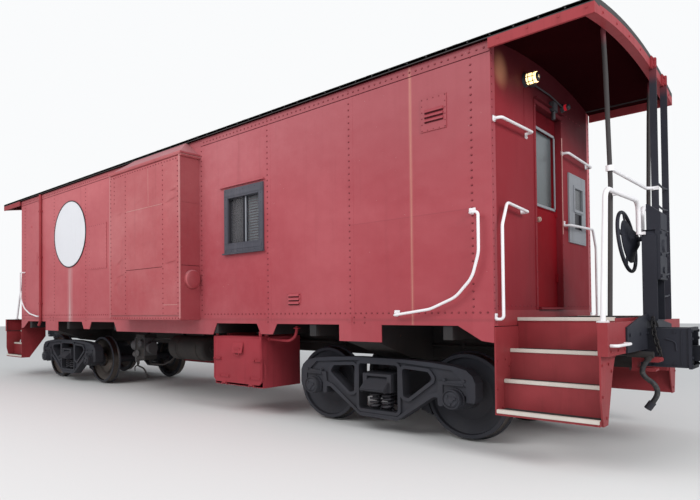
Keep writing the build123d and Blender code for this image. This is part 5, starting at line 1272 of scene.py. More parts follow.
# %% End doors
HINGE_ZS = (1.63, 2.33, 3.03)
DOOR_FACE = 4.88
KNOB_Y, KNOB_Z = -0.285, 2.19
for end, way in (("near", False), ("far", True)):
    door_bits = bmesh.new()
    for z in HINGE_ZS:
        block(door_bits, (DOOR_FACE + 0.003, 0.338, z), (0.006, 0.040, 0.090), soft=0.001)
        pin_x = DOOR_FACE + 0.006
        rod(door_bits, (pin_x, 0.361, z - 0.050), (pin_x, 0.361, z + 0.050), 0.006, 12)
    block(door_bits, (DOOR_FACE + 0.002, DOOR_MID, 1.45), (0.004, 0.62, 0.26), soft=0.001)
    block(door_bits, (DOOR_FACE + 0.010, KNOB_Y, 2.28), (0.016, 0.05, 0.11), soft=0.004)
    settle(f"door_fittings_{end}", door_bits, door_red, body=f"end_door_{end}", turn=way)
    frame_bits = bmesh.new()
    for y in (-0.262, 0.289):
        block(frame_bits, (DOOR_FACE + 0.012, y, 2.743), (0.010, 0.026, 0.81), soft=0.002)
    for z in (2.351, 3.135):
        block(frame_bits, (DOOR_FACE + 0.012, DOOR_MID, z), (0.010, 0.578, 0.026), soft=0.002)
    settle(f"door_pane_frame_{end}", frame_bits, plate_grey, body=f"end_door_{end}", turn=way)
    knob = bmesh.new()
    rod(knob, (DOOR_FACE, KNOB_Y, KNOB_Z), (DOOR_FACE + 0.008, KNOB_Y, KNOB_Z), 0.040, 24)
    rod(knob, (DOOR_FACE + 0.006, KNOB_Y, KNOB_Z), (DOOR_FACE + 0.04, KNOB_Y, KNOB_Z), 0.012, 12)
    bmesh.ops.create_uvsphere(knob, u_segments=20, v_segments=12, radius=0.0262,
                              matrix=Matrix.Translation((DOOR_FACE + 0.048, KNOB_Y, KNOB_Z)))
    settle(f"door_knob_{end}", knob, knob_cream, body=f"end_door_{end}", turn=way)

# %% [markdown]
# A caged lamp hangs under the roof beside the door, joined by a conduit to a small red marker. The cage is
# bent from wire: four bars over the top and two hoops round them.

# %% Lamp cages
LAMP = Vector((4.9303, -0.600, 3.495))
MARKER_Y, MARKER_Z = 0.430, 3.475
CAGE_RADIUS, CAGE_WIRE = 0.060, 0.0035
ACROSS = Vector((0, 1, 0))
cage = bmesh.new()
for k in range(4):
    a = math.pi / 4 * k
    side = Vector((0, math.cos(a), math.sin(a)))
    low, high = FRONT * 0.015, FRONT * 0.10
    aside = side * CAGE_RADIUS
    wire = [LAMP + aside + low, LAMP + aside + high, LAMP + FRONT * 0.152,
            LAMP - aside + high, LAMP - aside + low]
    tube(cage, bend(wire, 0.05, 6), CAGE_WIRE, 6)
for reach in (0.05, 0.09):
    hoop(cage, LAMP + FRONT * reach, CAGE_RADIUS + 0.0005, ACROSS, UP, CAGE_WIRE, 28, 6)
rod(cage, LAMP, LAMP + FRONT * 0.028, 0.070, 28, 0.062)
block(cage, LAMP + Vector((0.03, 0.115, 0.0)), (0.055, 0.07, 0.075), soft=0.006)
cable = [LAMP + Vector((0.02, y, z)) for y, z in ((0.14, 0.0), (0.62, 0.01), (0.98, -0.02))]
tube(cage, bend(cable, 0.03), 0.008, 10)
rod(cage, (LAMP.x, MARKER_Y, MARKER_Z), (4.962, MARKER_Y, MARKER_Z), 0.048, 24, 0.040)
block(cage, (4.955, 0.10, 3.40), (0.05, 0.12, 0.10), soft=0.006)
rod(cage, (4.955, 0.10, 3.35), (4.955, 0.10, 3.27), 0.02, 12)
settle("lamp_cages", cage, frame_black, twin=True)

# %% [markdown]
# Both lamps are lit in daylight, so their glass glows a little. Each glass is a short cylinder under a
# flattened ball.

# %% Lamp glass


def bulb(shape, centre, radius, flat, sides):
    """A ball, flattened along the car."""
    bmesh.ops.create_uvsphere(shape, u_segments=sides, v_segments=sides // 2, radius=radius,
                              matrix=Matrix.Translation(centre) @ Matrix.Diagonal((flat, 1, 1, 1)))


glow = bmesh.new()
rod(glow, LAMP + FRONT * 0.02, LAMP + FRONT * 0.115, 0.0505, 32)
bulb(glow, LAMP + FRONT * 0.10, 0.0505, 0.7, 32)
settle("lamp_glass", glow, lit_glass, twin=True)
marker = bmesh.new()
rod(marker, (4.955, MARKER_Y, MARKER_Z), (4.985, MARKER_Y, MARKER_Z), 0.0325, 24)
bulb(marker, (4.984, MARKER_Y, MARKER_Z), 0.0325, 0.9, 24)
settle("marker_glass", marker, red_glass, twin=True)

# %% [markdown]
# The roof is one arched sheet welded from strips, with raised seams over the frames. Each seam is a flat
# strip that follows the arch, which is worked out from the roof's height and width.

# %% Roof seams
CROWN, EAVE, ROOF_WIDE = 3.800, 3.670, 1.424
ROOF_RADIUS = (ROOF_WIDE**2 + (CROWN - EAVE)**2) / (2 * (CROWN - EAVE))
SEAM_COUNT, SEAM_PITCH, FIRST_SEAM = 13, 0.925, -5.55
SEAM_PROFILE = ((-0.03, -0.001), (-0.024, 0.006), (0.024, 0.006), (0.03, -0.001))
SEAM_REACH, ARCH_STEPS = 1.41, 30
EDGE_Z = 3.652
STACK_X, STACK_Y = 2.70, 0.33


def roof_at(y):
    """The roof's height at a distance from its middle line."""
    return CROWN - (ROOF_RADIUS - math.sqrt(ROOF_RADIUS**2 - y**2))


roof_bits = bmesh.new()
for x in [FIRST_SEAM + SEAM_PITCH * k for k in range(SEAM_COUNT)]:
    rings = []
    for y in [-SEAM_REACH + 2 * SEAM_REACH * k / ARCH_STEPS for k in range(ARCH_STEPS + 1)]:
        rings.append([roof_bits.verts.new((x + dx, y, roof_at(y) + dz)) for dx, dz in SEAM_PROFILE])
    for first, second in zip(rings, rings[1:]):
        for j in range(4):
            k = (j + 1) % 4
            roof_bits.faces.new((first[j], second[j], second[k], first[k]))
    roof_bits.faces.new(rings[0])
    roof_bits.faces.new(reversed(rings[-1]))
for side in (-1, 1):
    block(roof_bits, (0, side * 1.421, EDGE_Z), (11.50, 0.006, 0.030), soft=0.0015)
rod(roof_bits, (STACK_X, STACK_Y, 4.02), (STACK_X, STACK_Y, 4.05), 0.084, 24)
rod(roof_bits, (STACK_X, STACK_Y, 3.845), (STACK_X, STACK_Y, 3.862), 0.105, 24, 0.080)
settle("roof_seams", roof_bits, roof_black)
edge_xs = [-5.65 + 0.2 * k for k in range(57)]
spots = [((x, side * 1.4245, EDGE_Z), (0, side, 0)) for side in (-1, 1) for x in edge_xs]
rivets("roof_edge_rivets", spots, roof_black, size=0.007, twin=False)

# %% [markdown]
# Bolts hold the end fascia, and red angle brackets with two bolts each carry the ladder's stiles from it.

# %% Fascia bolts
fascia_bits = bmesh.new()
for y in (0.45, 0.93):
    z = roof_at(y) - 0.075
    for way in (-1, 1):
        block(fascia_bits, (5.764, y + way * 0.035, z), (0.016, 0.050, 0.12), soft=0.002)
        block(fascia_bits, (5.778, y + way * 0.0125, z), (0.036, 0.008, 0.10), soft=0.002)
    corners = [((5.772, y + dy, z + dz), FRONT) for dy in (-0.04, 0.04) for dz in (-0.035, 0.035)]
    hexes(fascia_bits, corners, 0.011, 0.009)
    hexes(fascia_bits, [((5.780, y - 0.017, z + dz), OUT) for dz in (-0.03, 0.03)], 0.009, 0.008)
fascia_ys = (-1.20, -0.80, -0.40, 0.0, 1.25)
hexes(fascia_bits, [((5.756, y, roof_at(y) - 0.09), FRONT) for y in fascia_ys], 0.008, 0.006)
for side in (-1, 1):
    eave = [((x, side * 1.424, 3.60), (0, side, 0)) for x in (5.02, 5.26, 5.50, 5.70)]
    hexes(fascia_bits, eave, 0.007, 0.005)
block(fascia_bits, (5.735, -0.84, 3.678), (0.010, 0.11, 0.075), soft=0.002)
settle("fascia_bolts", fascia_bits, deep_red, twin=True)

# %% [markdown]
# Each step is a folded sheet with a grip strip. Its edge was painted cream so that a foot finds it in the
# dark, and the edge of the platform too. The edges are pieces of their own, because a painted line would
# need a clean border.

# %% Step edges and treads
STEPS = ((1.377, 0.435, 1.213), (1.213, 0.680, 1.073), (1.073, 0.940, 0.870), (0.870, 1.215, 0.800))
PLATFORM_Z = 1.2
RIBS = 5
nosing, treads = bmesh.new(), bmesh.new()
for side in (-1, 1):
    for out_y, z, in_y in STEPS:
        far_x = 5.716 if z > 0.9 else 5.726
        near_x = 4.944 if z < PLATFORM_Z else 4.932
        mid_x, long = (near_x + far_x) / 2, far_x - near_x
        block(nosing, (mid_x, side * (out_y + 0.003), z - 0.007), (long, 0.012, 0.032), soft=0.003)
        block(nosing, (mid_x, side * (out_y - 0.014), z + 0.0055), (long, 0.036, 0.007), soft=0.002)
        if z > PLATFORM_Z:
            continue
        wide = out_y - in_y - 0.05
        mid_y = (out_y - 0.036 + in_y + 0.012) / 2
        block(treads, (mid_x, side * mid_y, z + 0.001), (long - 0.03, wide, 0.004), soft=0.001)
        for k in range(RIBS):
            y = side * (mid_y + (k - RIBS // 2) * wide / 6)
            block(treads, (mid_x, y, z + 0.005), (long - 0.05, 0.008, 0.005), soft=0.001)
settle("step_nosings", nosing, nosing_cream, twin=True)
settle("step_treads", treads, under_black, twin=True)

# %% [markdown]
# The platform's deck is chequered plate: short raised bars, each turned a quarter to its neighbour. A bump
# would do from afar, but the bars are large enough to show at the camera's low angle.

# %% Deck plate and step bolts
DECK_ROWS, DECK_BARS = 9, 20
deck = bmesh.new()
block(deck, (5.325, 0, 1.2165), (0.76, 1.66, 0.0025))
for j in range(DECK_ROWS):
    for k in range(DECK_BARS):
        slant = 45 if (j + k) % 2 else -45
        block(deck, (4.99 + 0.082 * j, -0.79 + 0.083 * k, 1.2185), (0.045, 0.010, 0.003), tilted(slant, "Z"))
settle("deck_plate", deck, under_black, twin=True)

STEP_BOLTS = ((1.345, 0.62), (1.345, 0.86), (1.18, 0.86), (1.10, 0.80), (1.25, 0.45))
panel_bolts = bmesh.new()
for side in (-1, 1):
    for x in (5.741, 4.9423):
        hexes(panel_bolts, [((x, side * y, z), FRONT) for y, z in STEP_BOLTS], 0.010, 0.008)
settle("step_bolts", panel_bolts, deep_red, twin=True)

# %% [markdown]
# The hand brake's gear sits in a cast housing on a column. Round bosses and bolts hold its cover.

# %% Hand brake housing
HOUSING_FACE, COLUMN_FACE = 5.9055, 5.804
column = bmesh.new()
cover_bolts = [((HOUSING_FACE, y, z), FRONT) for y in (-0.118, 0.118) for z in (1.585, 1.78, 1.975)]
foot_bolts = [((COLUMN_FACE, side * y, 1.075), FRONT) for side in (-1, 1) for y in (0.20, 0.45, 0.80)]
hexes(column, cover_bolts + foot_bolts, 0.013, 0.011)
rod(column, (HOUSING_FACE, 0, 1.86), (5.921, 0, 1.86), 0.062, 28, 0.052)
rod(column, (HOUSING_FACE, 0, 1.64), (5.915, 0, 1.64), 0.030, 20)
block(column, (5.8, 0, 1.2), (0.004, 0.24, 0.05), soft=0.001)
settle("brake_column_bolts", column, cast_black, twin=True)

# %% [markdown]
# A chain runs from the column's foot down behind the draft box. Each link is an oval of wire, turned a
# quarter to the one before. The links are laid along straight runs, because a chain under load has no sag.

# %% Brake chain
LINK_SIDES = 16
LINK_LAP = 0.72
LINK_ROUND = 0.3


def chain(shape, points, link=0.05, wire=0.006):
    """Oval links along a line, each turned a quarter to its neighbour."""
    points = [Vector(p) for p in points]
    runs = list(zip(points, points[1:]))
    total = sum((b - a).length for a, b in runs)
    count = max(2, round(total / (link * LINK_LAP)))
    for k in range(count):
        reach = (k + 0.5) * total / count
        for a, b in runs:
            if reach <= (b - a).length or (a, b) == runs[-1]:
                break
            reach -= (b - a).length
        along = (b - a).normalized()
        middle = a + along * reach
        side = along.orthogonal().normalized()
        across = side if k % 2 else along.cross(side)
        oval = []
        for t in turns(LINK_SIDES):
            straight = (link / 2 - LINK_ROUND * link) * (1 if math.cos(t) >= 0 else -1)
            curved = LINK_ROUND * link * math.cos(t)
            oval.append(middle + along * (straight + curved) + across * LINK_ROUND * link * math.sin(t))
        tube(shape, oval, wire, 6, closed=True)


hanging = bmesh.new()
chain(hanging, [(5.822, 0.0, 1.185), (5.835, 0.0, 1.12)], 0.062, 0.0075)
chain(hanging, [(5.850, -0.192, 1.215), (5.856, -0.193, 1.08), (5.885, -0.195, 0.95), (5.905, -0.197, 0.875)],
      0.055, 0.0065)
settle("brake_chain", hanging, under_black, twin=True)

# %% [markdown]
# The draft box and the end sill are bolted all round. The bolts are drawn in rows from the plane of the
# face they sit on, and a bent rod on each side of the box is the support of the uncoupling gear.

# %% Bolts of the draft box and the end sill
BOX_SIDE, BOX_FACE, SILL_FACE = 0.1655, 6.122, 5.7905
draft = bmesh.new()
for side in (-1, 1):
    hexes(draft, [((BOX_FACE, side * 0.160, z), FRONT) for z in (0.80, 0.865, 1.03, 1.095)], 0.011, 0.010)
    for x in (5.85, 6.00):
        hexes(draft, [((x, side * BOX_SIDE, z), (0, side, 0)) for z in (1.09, 0.81)], 0.012, 0.010)
    support = [(5.935, 1.026), (5.985, 1.010), (6.007, 0.993), (6.013, 0.924)]
    tube(draft, bend([(x, side * 0.166, z) for x, z in support], 0.02), 0.008, 8)
    block(draft, (6.05, side * 0.1665, 0.95), (0.012, 0.008, 0.30), soft=0.002)
block(draft, (5.95, 0, 1.1205), (0.26, 0.05, 0.010), soft=0.003)
settle("draft_box_bolts", draft, cast_black, twin=True)

sill_bits = bmesh.new()
small_ys = [-1.30 + 0.2 * k for k in range(14)]
hexes(sill_bits, [((SILL_FACE, y, 0.965), FRONT) for y in small_ys if abs(y) > 0.22], 0.009, 0.007)
hexes(sill_bits, [((SILL_FACE, y, 1.012), FRONT) for y in (-1.33, -0.93, 0.93, 1.33)], 0.012, 0.010)
settle("end_sill_bolts", sill_bits, deep_red, twin=True)

# %% [markdown]
# The roof posts stand on round flanges, bolted to the deck. Three bolts on a circle hold each, and the same
# helper serves the railings' feet further down.

# %% Feet of the posts


def bolts_round(shape, centre, radius, angles, size, high):
    """Bolts that stand on a circle."""
    around = [centre + radius * Vector((math.cos(a), math.sin(a), 0)) for a in angles]
    hexes(shape, [(where, UP) for where in around], size, high, washer=False)


POST_X, POST_Y, DECK_Z = 5.660, 0.78, 1.216
feet = bmesh.new()
for y in (-POST_Y, POST_Y):
    rod(feet, (POST_X, y, DECK_Z), (POST_X, y, DECK_Z + 0.012), 0.045, 20)
    bolts_round(feet, Vector((POST_X, y, DECK_Z + 0.012)), 0.030, (0.8, 2.9, 5.0), 0.007, 0.006)
settle("post_feet", feet, iron_grey, twin=True)

# %% [markdown]
# Each roller bearing is closed by a cap with three bolts and a locking plate. The cap turns with the axle,
# so each axle's two caps are one piece that rides on it, while the housing stays with the truck.

# %% Bearing caps
CAP_FACE, CAP_BOLTS, CAP_RIM = 1.146, 0.044, 0.086
BOLT_ANGLES = turns(3, 0.35)
for axle, x in AXLES.items():
    cap = bmesh.new()
    for side in (-1, 1):
        face = Vector((x, side * CAP_FACE, WHEEL_Z))
        out = Vector((0, side, 0))
        corners = [face + CAP_BOLTS * Vector((math.cos(a), 0, math.sin(a))) for a in BOLT_ANGLES]
        hexes(cap, [(corner, out) for corner in corners], 0.014, 0.014)
        for first, last in zip(corners, corners[1:] + corners[:1]):
            tube(cap, [first + out * 0.0015, last + out * 0.0015], 0.008, 6)
        rod(cap, face - out * 0.001, face + out * 0.006, 0.030, 24)
        hoop(cap, face - out * 0.004, CAP_RIM, FRONT, UP, 0.006, 48, 8)
    settle(f"bearing_caps_{axle}", cap, iron_grey, body=axle)

# %% [markdown]
# Groups of coil springs carry the bolster in the middle of each side frame. The exact part keeps plain
# cylinders for them, and the coils replace those. A coil is a tube along a helix, with a thinner coil
# inside it. Its length runs between the two spring seats, less the thickness of its wire.

# %% Coil springs
SPRING_LOW, SPRING_HIGH, SPRING_Y = 0.2353, 0.4347, 0.985
COILS = ((0.056, 0.0115, 4.5, 0.0), (0.032, 0.008, 6.5, 1.0))
COIL_STEPS = 20


def helix(middle, radius, wire, rounds, start):
    """Points along one coil."""
    steps = int(rounds * COIL_STEPS)
    low, high = SPRING_LOW + wire, SPRING_HIGH - wire
    points = []
    for k in range(steps + 1):
        a = start + math.tau * rounds * k / steps
        z = low + (high - low) * k / steps
        points.append(middle + Vector((radius * math.cos(a), radius * math.sin(a), z)))
    return points


for truck, sign in (("near", 1), ("far", -1)):
    coils = bmesh.new()
    for side in (-1, 1):
        for dx in (-0.075, 0.075):
            middle = Vector((sign * TRUCK_X + dx, side * SPRING_Y, 0))
            for radius, wire, rounds, start in COILS:
                tube(coils, helix(middle, radius, wire, rounds, start), wire, 8)
    springs = settle(f"coil_springs_{truck}", coils, frame_black, body=f"truck_{truck}")
    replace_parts(springs, f"springs_{truck}")

# %% [markdown]
# Each end of a bolster carries a sloping cast lip that reaches out through the side frame's middle window.
# Small bolts hold a keeper over each bearing. All of it swivels with the truck.

# %% Bolster lips and truck bolts
LIP_SLOPE = 39
FRAME_FACE = 1.0655
for truck, sign in (("near", 1), ("far", -1)):
    bits = bmesh.new()
    middle = sign * TRUCK_X
    for side in (-1, 1):
        for ax in (-HALF_WHEELBASE, HALF_WHEELBASE):
            spots = [((middle + ax + dx, side * FRAME_FACE, 0.62), (0, side, 0)) for dx in (-0.10, 0.10)]
            hexes(bits, spots, 0.014, 0.012)
            block(bits, (middle + ax, side * 1.062, 0.578), (0.20, 0.02, 0.02), soft=0.003)
        slope = tilted(-side * LIP_SLOPE)
        block(bits, (middle, side * 1.105, 0.520), (0.310, 0.205, 0.024), slope, soft=0.008)
        for dx in (-0.142, 0.142):
            block(bits, (middle + dx, side * 1.098, 0.500), (0.024, 0.180, 0.050), slope, soft=0.008)
        block(bits, (middle, side * 1.050, 0.475), (0.300, 0.060, 0.060), soft=0.010)
    settle(f"truck_bolts_{truck}", bits, iron_grey, body=f"truck_{truck}")

# %% [markdown]
# The tool box door drops down, so everything on it rides on the door's body: a hasp that hangs a little off
# the sheet, a handle below it, two latches, and two hinge straps. The raised edges of the door are a piece
# of their own.

# %% Tool box doors
DOOR_Y = -1.330
DOOR_EDGES = ((1.605, 0.976, 0.81, 0.010), (1.180, 0.69, 0.010, 0.50), (2.028, 0.69, 0.010, 0.50))
HANDLE = ((1.60, 0.012, 0.80), (1.60, 0.035, 0.80), (1.60, 0.035, 0.75),
          (1.68, 0.035, 0.75), (1.68, 0.035, 0.80), (1.68, 0.012, 0.80))
for side_name, way in (("right", False), ("left", True)):
    latch = bmesh.new()
    block(latch, (1.64, DOOR_Y - 0.020, 0.845), (0.19, 0.008, 0.14), tilted(-14), soft=0.002)
    block(latch, (1.64, DOOR_Y - 0.020, 0.830), (0.12, 0.030, 0.030), soft=0.004)
    tube(latch, bend([(x, DOOR_Y - reach, z) for x, reach, z in HANDLE], 0.02), 0.006, 8)
    for x in (1.24, 1.985):
        block(latch, (x, DOOR_Y - 0.004, 0.695), (0.14, 0.010, 0.045), soft=0.002)
        block(latch, (x + 0.02, DOOR_Y - 0.016, 0.695), (0.09, 0.018, 0.022), soft=0.004)
        rod(latch, (x - 0.05, DOOR_Y - 0.004, 0.695), (x - 0.05, DOOR_Y - 0.026, 0.695), 0.012, 12)
    for x in (1.375, 1.935):
        block(latch, (x, DOOR_Y - 0.003, 0.475), (0.20, 0.008, 0.036), soft=0.002)
        hexes(latch, [((x + dx, DOOR_Y - 0.007, 0.475), OUT) for dx in (-0.08, 0.08)], 0.008, 0.007)
    settle(f"tool_door_fittings_{side_name}", latch, tool_red, body=f"tool_door_{side_name}", turn=way)
    edge = bmesh.new()
    for x, z, wide, tall in DOOR_EDGES:
        block(edge, (x, DOOR_Y - 0.002, z), (wide, 0.006, tall), soft=0.001)
    settle(f"tool_door_edges_{side_name}", edge, tool_red, body=f"tool_door_{side_name}", turn=way)

# %% [markdown]
# Above the door, two brackets hang the box from the sill. A red conduit leaves the box and bends up under
# the sill, and a short chain keeps the latch pin. These stay with the car when the door drops.

# %% Tool box conduit and latch chain
CONDUIT_Y = -1.20
fixings = bmesh.new()
for x in (1.20, 2.01):
    block(fixings, (x, -1.303, 1.02), (0.05, 0.008, 0.07), soft=0.002)
    hexes(fixings, [((x, -1.307, z), OUT) for z in (1.005, 1.035)], 0.008, 0.007)
conduit = [(2.052, 0.961), (2.405, 0.946), (2.50, 1.007), (2.517, 1.12)]
tube(fixings, bend([(x, CONDUIT_Y, z) for x, z in conduit], 0.06), 0.017, 12)
rod(fixings, (2.052, CONDUIT_Y, 0.961), (2.085, CONDUIT_Y, 0.960), 0.026, 16)
block(fixings, (2.517, CONDUIT_Y, 1.10), (0.07, 0.05, 0.012), soft=0.002)
settle("tool_box_conduit", fixings, tool_red, twin=True)
keep = bmesh.new()
chain(keep, [(2.054, -1.29, 0.70), (2.075, -1.29, 0.60), (2.070, -1.29, 0.49)], 0.030, 0.0035)
settle("latch_chain", keep, tool_red, twin=True)

# %% [markdown]
# Under the floor, the brake valve is a bracket with a casting on each side, capped and bolted. The exact
# part gives its body, and round bars of many sizes give the castings on it. They are listed by their place
# on the bracket.

# %% Brake valve
VALVE = Vector((0, -0.760, 0.725))
END_CAP, SIDE_CAP = VALVE + Vector((-1.60, -0.02, 0.02)), VALVE + Vector((-1.24, -0.165, 0.06))
CASTINGS = (
    ((-1.42, -0.02, 0.02), (-1.60, -0.02, 0.02), 0.088, 28, 0.088),
    ((-1.60, -0.02, 0.02), (-1.635, -0.02, 0.02), 0.072, 28, 0.055),
    ((-1.16, -0.02, -0.01), (-1.06, -0.02, -0.01), 0.095, 28, 0.095),
    ((-1.43, -0.06, -0.13), (-1.55, -0.06, -0.13), 0.048, 20, 0.048),
    ((-1.50, -0.04, -0.10), (-1.50, -0.04, -0.26), 0.045, 20, 0.036),
    ((-1.24, -0.122, 0.06), (-1.24, -0.165, 0.06), 0.068, 24, 0.060),
    ((-1.34, -0.122, -0.10), (-1.34, -0.150, -0.10), 0.052, 24, 0.052),
)
valve = bmesh.new()
for start, end, radius, sides, end_radius in CASTINGS:
    rod(valve, VALVE + Vector(start), VALVE + Vector(end), radius, sides, end_radius)
for x in (-1.428, -1.152):
    block(valve, VALVE + Vector((x, -0.01, 0.01)), (0.024, 0.25, 0.30), soft=0.006)
for a in turns(6):
    hexes(valve, [(END_CAP + Vector((0, math.cos(a), math.sin(a))) * 0.076, (-1, 0, 0))], 0.010, 0.010)
    hexes(valve, [(SIDE_CAP + Vector((math.cos(a), 0, math.sin(a))) * 0.050, OUT)], 0.009, 0.009)
for x in (-1.39, -1.19):
    hexes(valve, [((x, -0.880, z), OUT) for z in (0.56, 0.89)], 0.013, 0.012)
settle("brake_valve_castings", valve, valve_grey)

# %% [markdown]
# Pipes join the valve, the reservoir and the train line. Each is a line of straight runs whose corners are
# rounded before the tube is drawn, the way a pipe fitter bends them.

# %% Brake pipes
TANK = Vector((0, -0.640, 0.745))
PIPES = (
    (0.05, 0.014, [(-1.50, -0.80, 0.47), (-1.50, -0.80, 0.40), (-1.30, -0.80, 0.36), (-1.22, -0.80, 0.26)]),
    (0.04, 0.011, [(-1.36, -0.86, 0.52), (-1.36, -0.86, 0.43), (-1.52, -0.84, 0.38), (-1.58, -0.80, 0.31)]),
    (0.08, 0.013, [(-1.20, -0.74, 0.52), (-1.20, -0.74, 0.44), (-0.86, -0.70, 0.44), (-0.70, -0.66, 0.52),
                   (-0.61, -0.64, 0.60)]),
    (0.05, 0.013, [(-1.29, -0.70, 0.92), (-1.29, -0.70, 0.985), (-1.05, -0.55, 0.985), (-1.0, -0.30, 0.985),
                   (-1.0, -0.236, 0.985)]),
    (0.06, 0.016, [(-0.60, -0.66, 0.86), (-0.80, -0.68, 0.88), (-1.08, -0.72, 0.86), (-1.14, -0.74, 0.84)]),
    (0.06, 0.013, [(0.30, -0.64, 0.745), (0.42, -0.64, 0.745), (0.42, -0.52, 0.95), (0.42, -0.32, 0.975),
                   (0.42, -0.236, 0.975)]),
)
pipes = bmesh.new()
for corner, radius, runs in PIPES:
    tube(pipes, bend(runs, corner), radius, 10)
rod(pipes, (-1.22, -0.80, 0.275), (-1.22, -0.80, 0.205), 0.020, 12, 0.026)
for x, way in ((-0.56, FRONT * -0.055), (0.26, FRONT * 0.055)):
    rod(pipes, TANK + FRONT * x, TANK + FRONT * x + way, 0.060, 6)
settle("brake_pipes", pipes, under_black)

# %% [markdown]
# The reservoir hangs in two flat straps. A strap is a chain of short flat blocks, each turned to follow the
# round tank, and longer than its step so that no gap shows on the outside of the bend. The thin ring is the
# weld of the tank's end.

# %% Reservoir straps
STRAP_RADIUS, STRAP_STEPS = 0.1925, 40
STRAP_FROM, STRAP_TURN = -200, 220
straps = bmesh.new()
for x in (-0.40, 0.10):
    ring = []
    for k in range(STRAP_STEPS + 1):
        a = math.radians(STRAP_FROM + STRAP_TURN * k / STRAP_STEPS)
        ring.append(TANK + Vector((x, STRAP_RADIUS * math.cos(a), STRAP_RADIUS * math.sin(a))))
    for first, second in zip(ring, ring[1:]):
        along = second - first
        lean = Matrix.Rotation(math.atan2(along.z, along.y), 4, "X")
        block(straps, (first + second) / 2, (0.06, along.length * 1.15, 0.005), lean)
hoop(straps, TANK + FRONT * -0.32, 0.190, ACROSS, UP, 0.004, 48, 6)
settle("reservoir_straps", straps, under_black)

# %% [markdown]
# The train line carries the air the length of the car. It runs beside the centre sill, in small brackets,
# and swings out at each end to its angle cock.

# %% Train line
LINE_Z, LINE_Y = 0.897, 0.236
line_pipe = bmesh.new()
for end in (1, -1):
    side = -end
    run = [(5.70, 0.42), (5.55, 0.42), (5.30, LINE_Y), (4.9, LINE_Y), (0.0, LINE_Y)]
    tube(line_pipe, bend([(end * x, side * y, LINE_Z) for x, y in run], 0.12), 0.021, 12)
    for x in (0.6, 1.7, 2.5, 4.1, 5.0):
        block(line_pipe, (end * x, side * 0.232, LINE_Z), (0.03, 0.045, 0.07), soft=0.004)
settle("train_line", line_pipe, under_black)

# %% [markdown]
# The down pipe carries water from the roof's edge past the sill. It is drawn again here, thicker and up to
# the eave, in place of the exact pipe. Its clamps stand off the side sheet.

# %% Down pipe and clamps
PIPE_X, PIPE_Y = -3.968, -1.410
down_pipe = bmesh.new()
pipe_run = [(PIPE_X, PIPE_Y, 3.625), (PIPE_X, PIPE_Y, 1.150), (PIPE_X - 0.072, PIPE_Y, 1.075)]
tube(down_pipe, bend(pipe_run, 0.06, 8), 0.0275, 20)
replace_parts(settle("down_pipe", down_pipe, deep_red), "side_pipe")
clamps = bmesh.new()
for z in (1.50, 3.30, 2.40):
    block(clamps, (PIPE_X, PIPE_Y + 0.006, z), (0.092, 0.062, 0.030), soft=0.004)
rod(clamps, (PIPE_X, PIPE_Y, 3.470), (PIPE_X, PIPE_Y, 3.520), 0.033, 20)
for dx in (0.028, -0.028):
    hexes(clamps, [((PIPE_X + dx, SIDE, 1.50), OUT)], 0.009, 0.009)
settle("side_pipe_clamps", clamps, deep_red)

# %% [markdown]
# A round plug, a strip and two small pads are all that is left of older fittings on the side.

# %% Small marks on the side
marks = bmesh.new()
rod(marks, (-4.448, SIDE - 0.001, 3.055), (-4.448, SIDE - 0.012, 3.055), 0.022, 20, 0.016)
block(marks, (-4.190, SIDE - 0.002, 2.395), (0.018, 0.006, 0.26), soft=0.001)
for x in (-4.83, 3.42):
    block(marks, (x, SIDE - 0.003, 1.205), (0.05, 0.008, 0.05), soft=0.002)
settle("side_marks", marks, side_red, twin=True)

# %% [markdown]
# Every grab iron ends in a flattened foot held by two bolts, and the railings stand in small flanges. The
# exact irons end in plain rounds, so the feet are what makes them look forged.

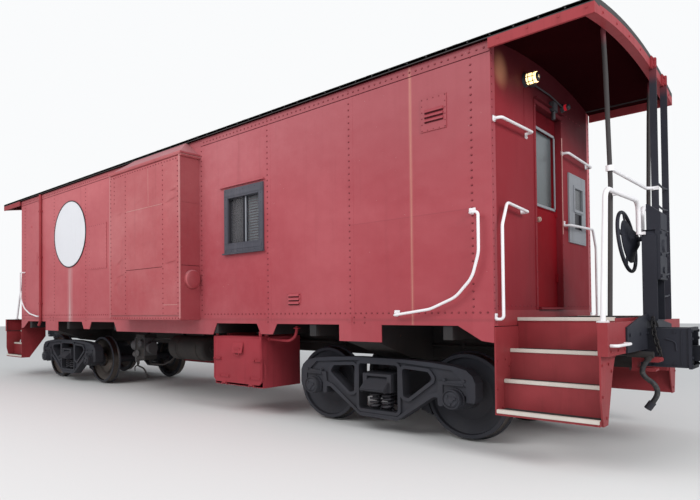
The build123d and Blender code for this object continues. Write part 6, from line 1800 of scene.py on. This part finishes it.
# %% Feet of the irons and railings
SIDE_FEET = ((4.756, 2.170), (3.985, 1.275))
END_FEET = ((-1.325, 2.955), (-0.600, 2.955), (0.400, 2.975), (1.225, 2.975), (-0.740, 2.225), (0.440, 2.225),
            (-1.338, 1.237), (1.338, 1.237))
irons = bmesh.new()
for x, z in SIDE_FEET:
    block(irons, (x, SIDE - 0.004, z), (0.060, 0.010, 0.045), soft=0.003)
    hexes(irons, [((x + dx, SIDE - 0.009, z), OUT) for dx in (-0.017, 0.017)], 0.009, 0.009, washer=False)
for y, z in END_FEET:
    block(irons, (END + 0.004, y, z), (0.010, 0.050, 0.050), soft=0.003)
    hexes(irons, [((END + 0.009, y, z + dz), FRONT) for dz in (-0.014, 0.014)], 0.008, 0.008, washer=False)
settle("grab_iron_feet", irons, rail_white, twin=True)

RAILING_X, RAILING_Y, FLANGE_Z = 5.705, 1.165, 1.196
feet = bmesh.new()
for y in (-RAILING_Y, RAILING_Y):
    rod(feet, (RAILING_X, y, FLANGE_Z - 0.0105), (RAILING_X, y, FLANGE_Z), 0.046, 24)
    bolts_round(feet, Vector((RAILING_X, y, FLANGE_Z)), 0.034, (0.5, 2.6, 4.7), 0.007, 0.006)
settle("railing_feet", feet, rail_white, twin=True)

# %% [markdown]
# On the exact parts some faces wear another finish than the rest: the wheels' treads are bare steel, the
# roof's underside is painted near black as the shade under the eave, the end sill's back is painted black
# as the shade under the platform, and the recess in the plate beside the door is painted black as shade. A
# rule on a face's middle and the way it looks picks them, and they get a second material slot.

# %% Second finishes on exact parts
TREAD_Y, TREAD_RADIUS = (0.712, 0.808), 0.4155
SILL_BACK, RECESS = 5.7215, 4.9395


def faces_of(node, finish, chosen):
    """Gives the faces that fit a rule a second material."""
    node.data.materials.append(finish)
    slot = len(node.material_slots) - 1
    place = node.matrix_world
    count = 0
    for face in node.data.polygons:
        if chosen(place @ face.center, (place.to_3x3() @ face.normal).normalized()):
            face.material_index = slot
            count += 1
    print(node.name, "faces with a second finish:", count)


def is_tread(axle_x):
    """The rule for the running surface of the wheels on one axle."""
    return lambda at, way: (TREAD_Y[0] < abs(at.y) < TREAD_Y[1]
                            and math.hypot(at.x - axle_x, at.z - WHEEL_Z) > TREAD_RADIUS)


for name, node in nodes.items():
    if name.startswith("wheelset"):
        faces_of(node, worn_tread, is_tread(AXLES[f"axle_{name[-1]}"]))
    if name == "roof":
        faces_of(node, soffit_red, lambda at, way: way.z < -0.3)
    # The end sill's back is painted black: painted shade under the platform.
    if name.startswith("end_sill"):
        faces_of(node, under_black, lambda at, way: abs(at.x) < SILL_BACK)
    # The recess in the plate is painted black as shade.
    if name == "end_window_plates":
        faces_of(node, frame_black, lambda at, way: abs(at.x) < RECESS and abs(way.x) > 0.5)
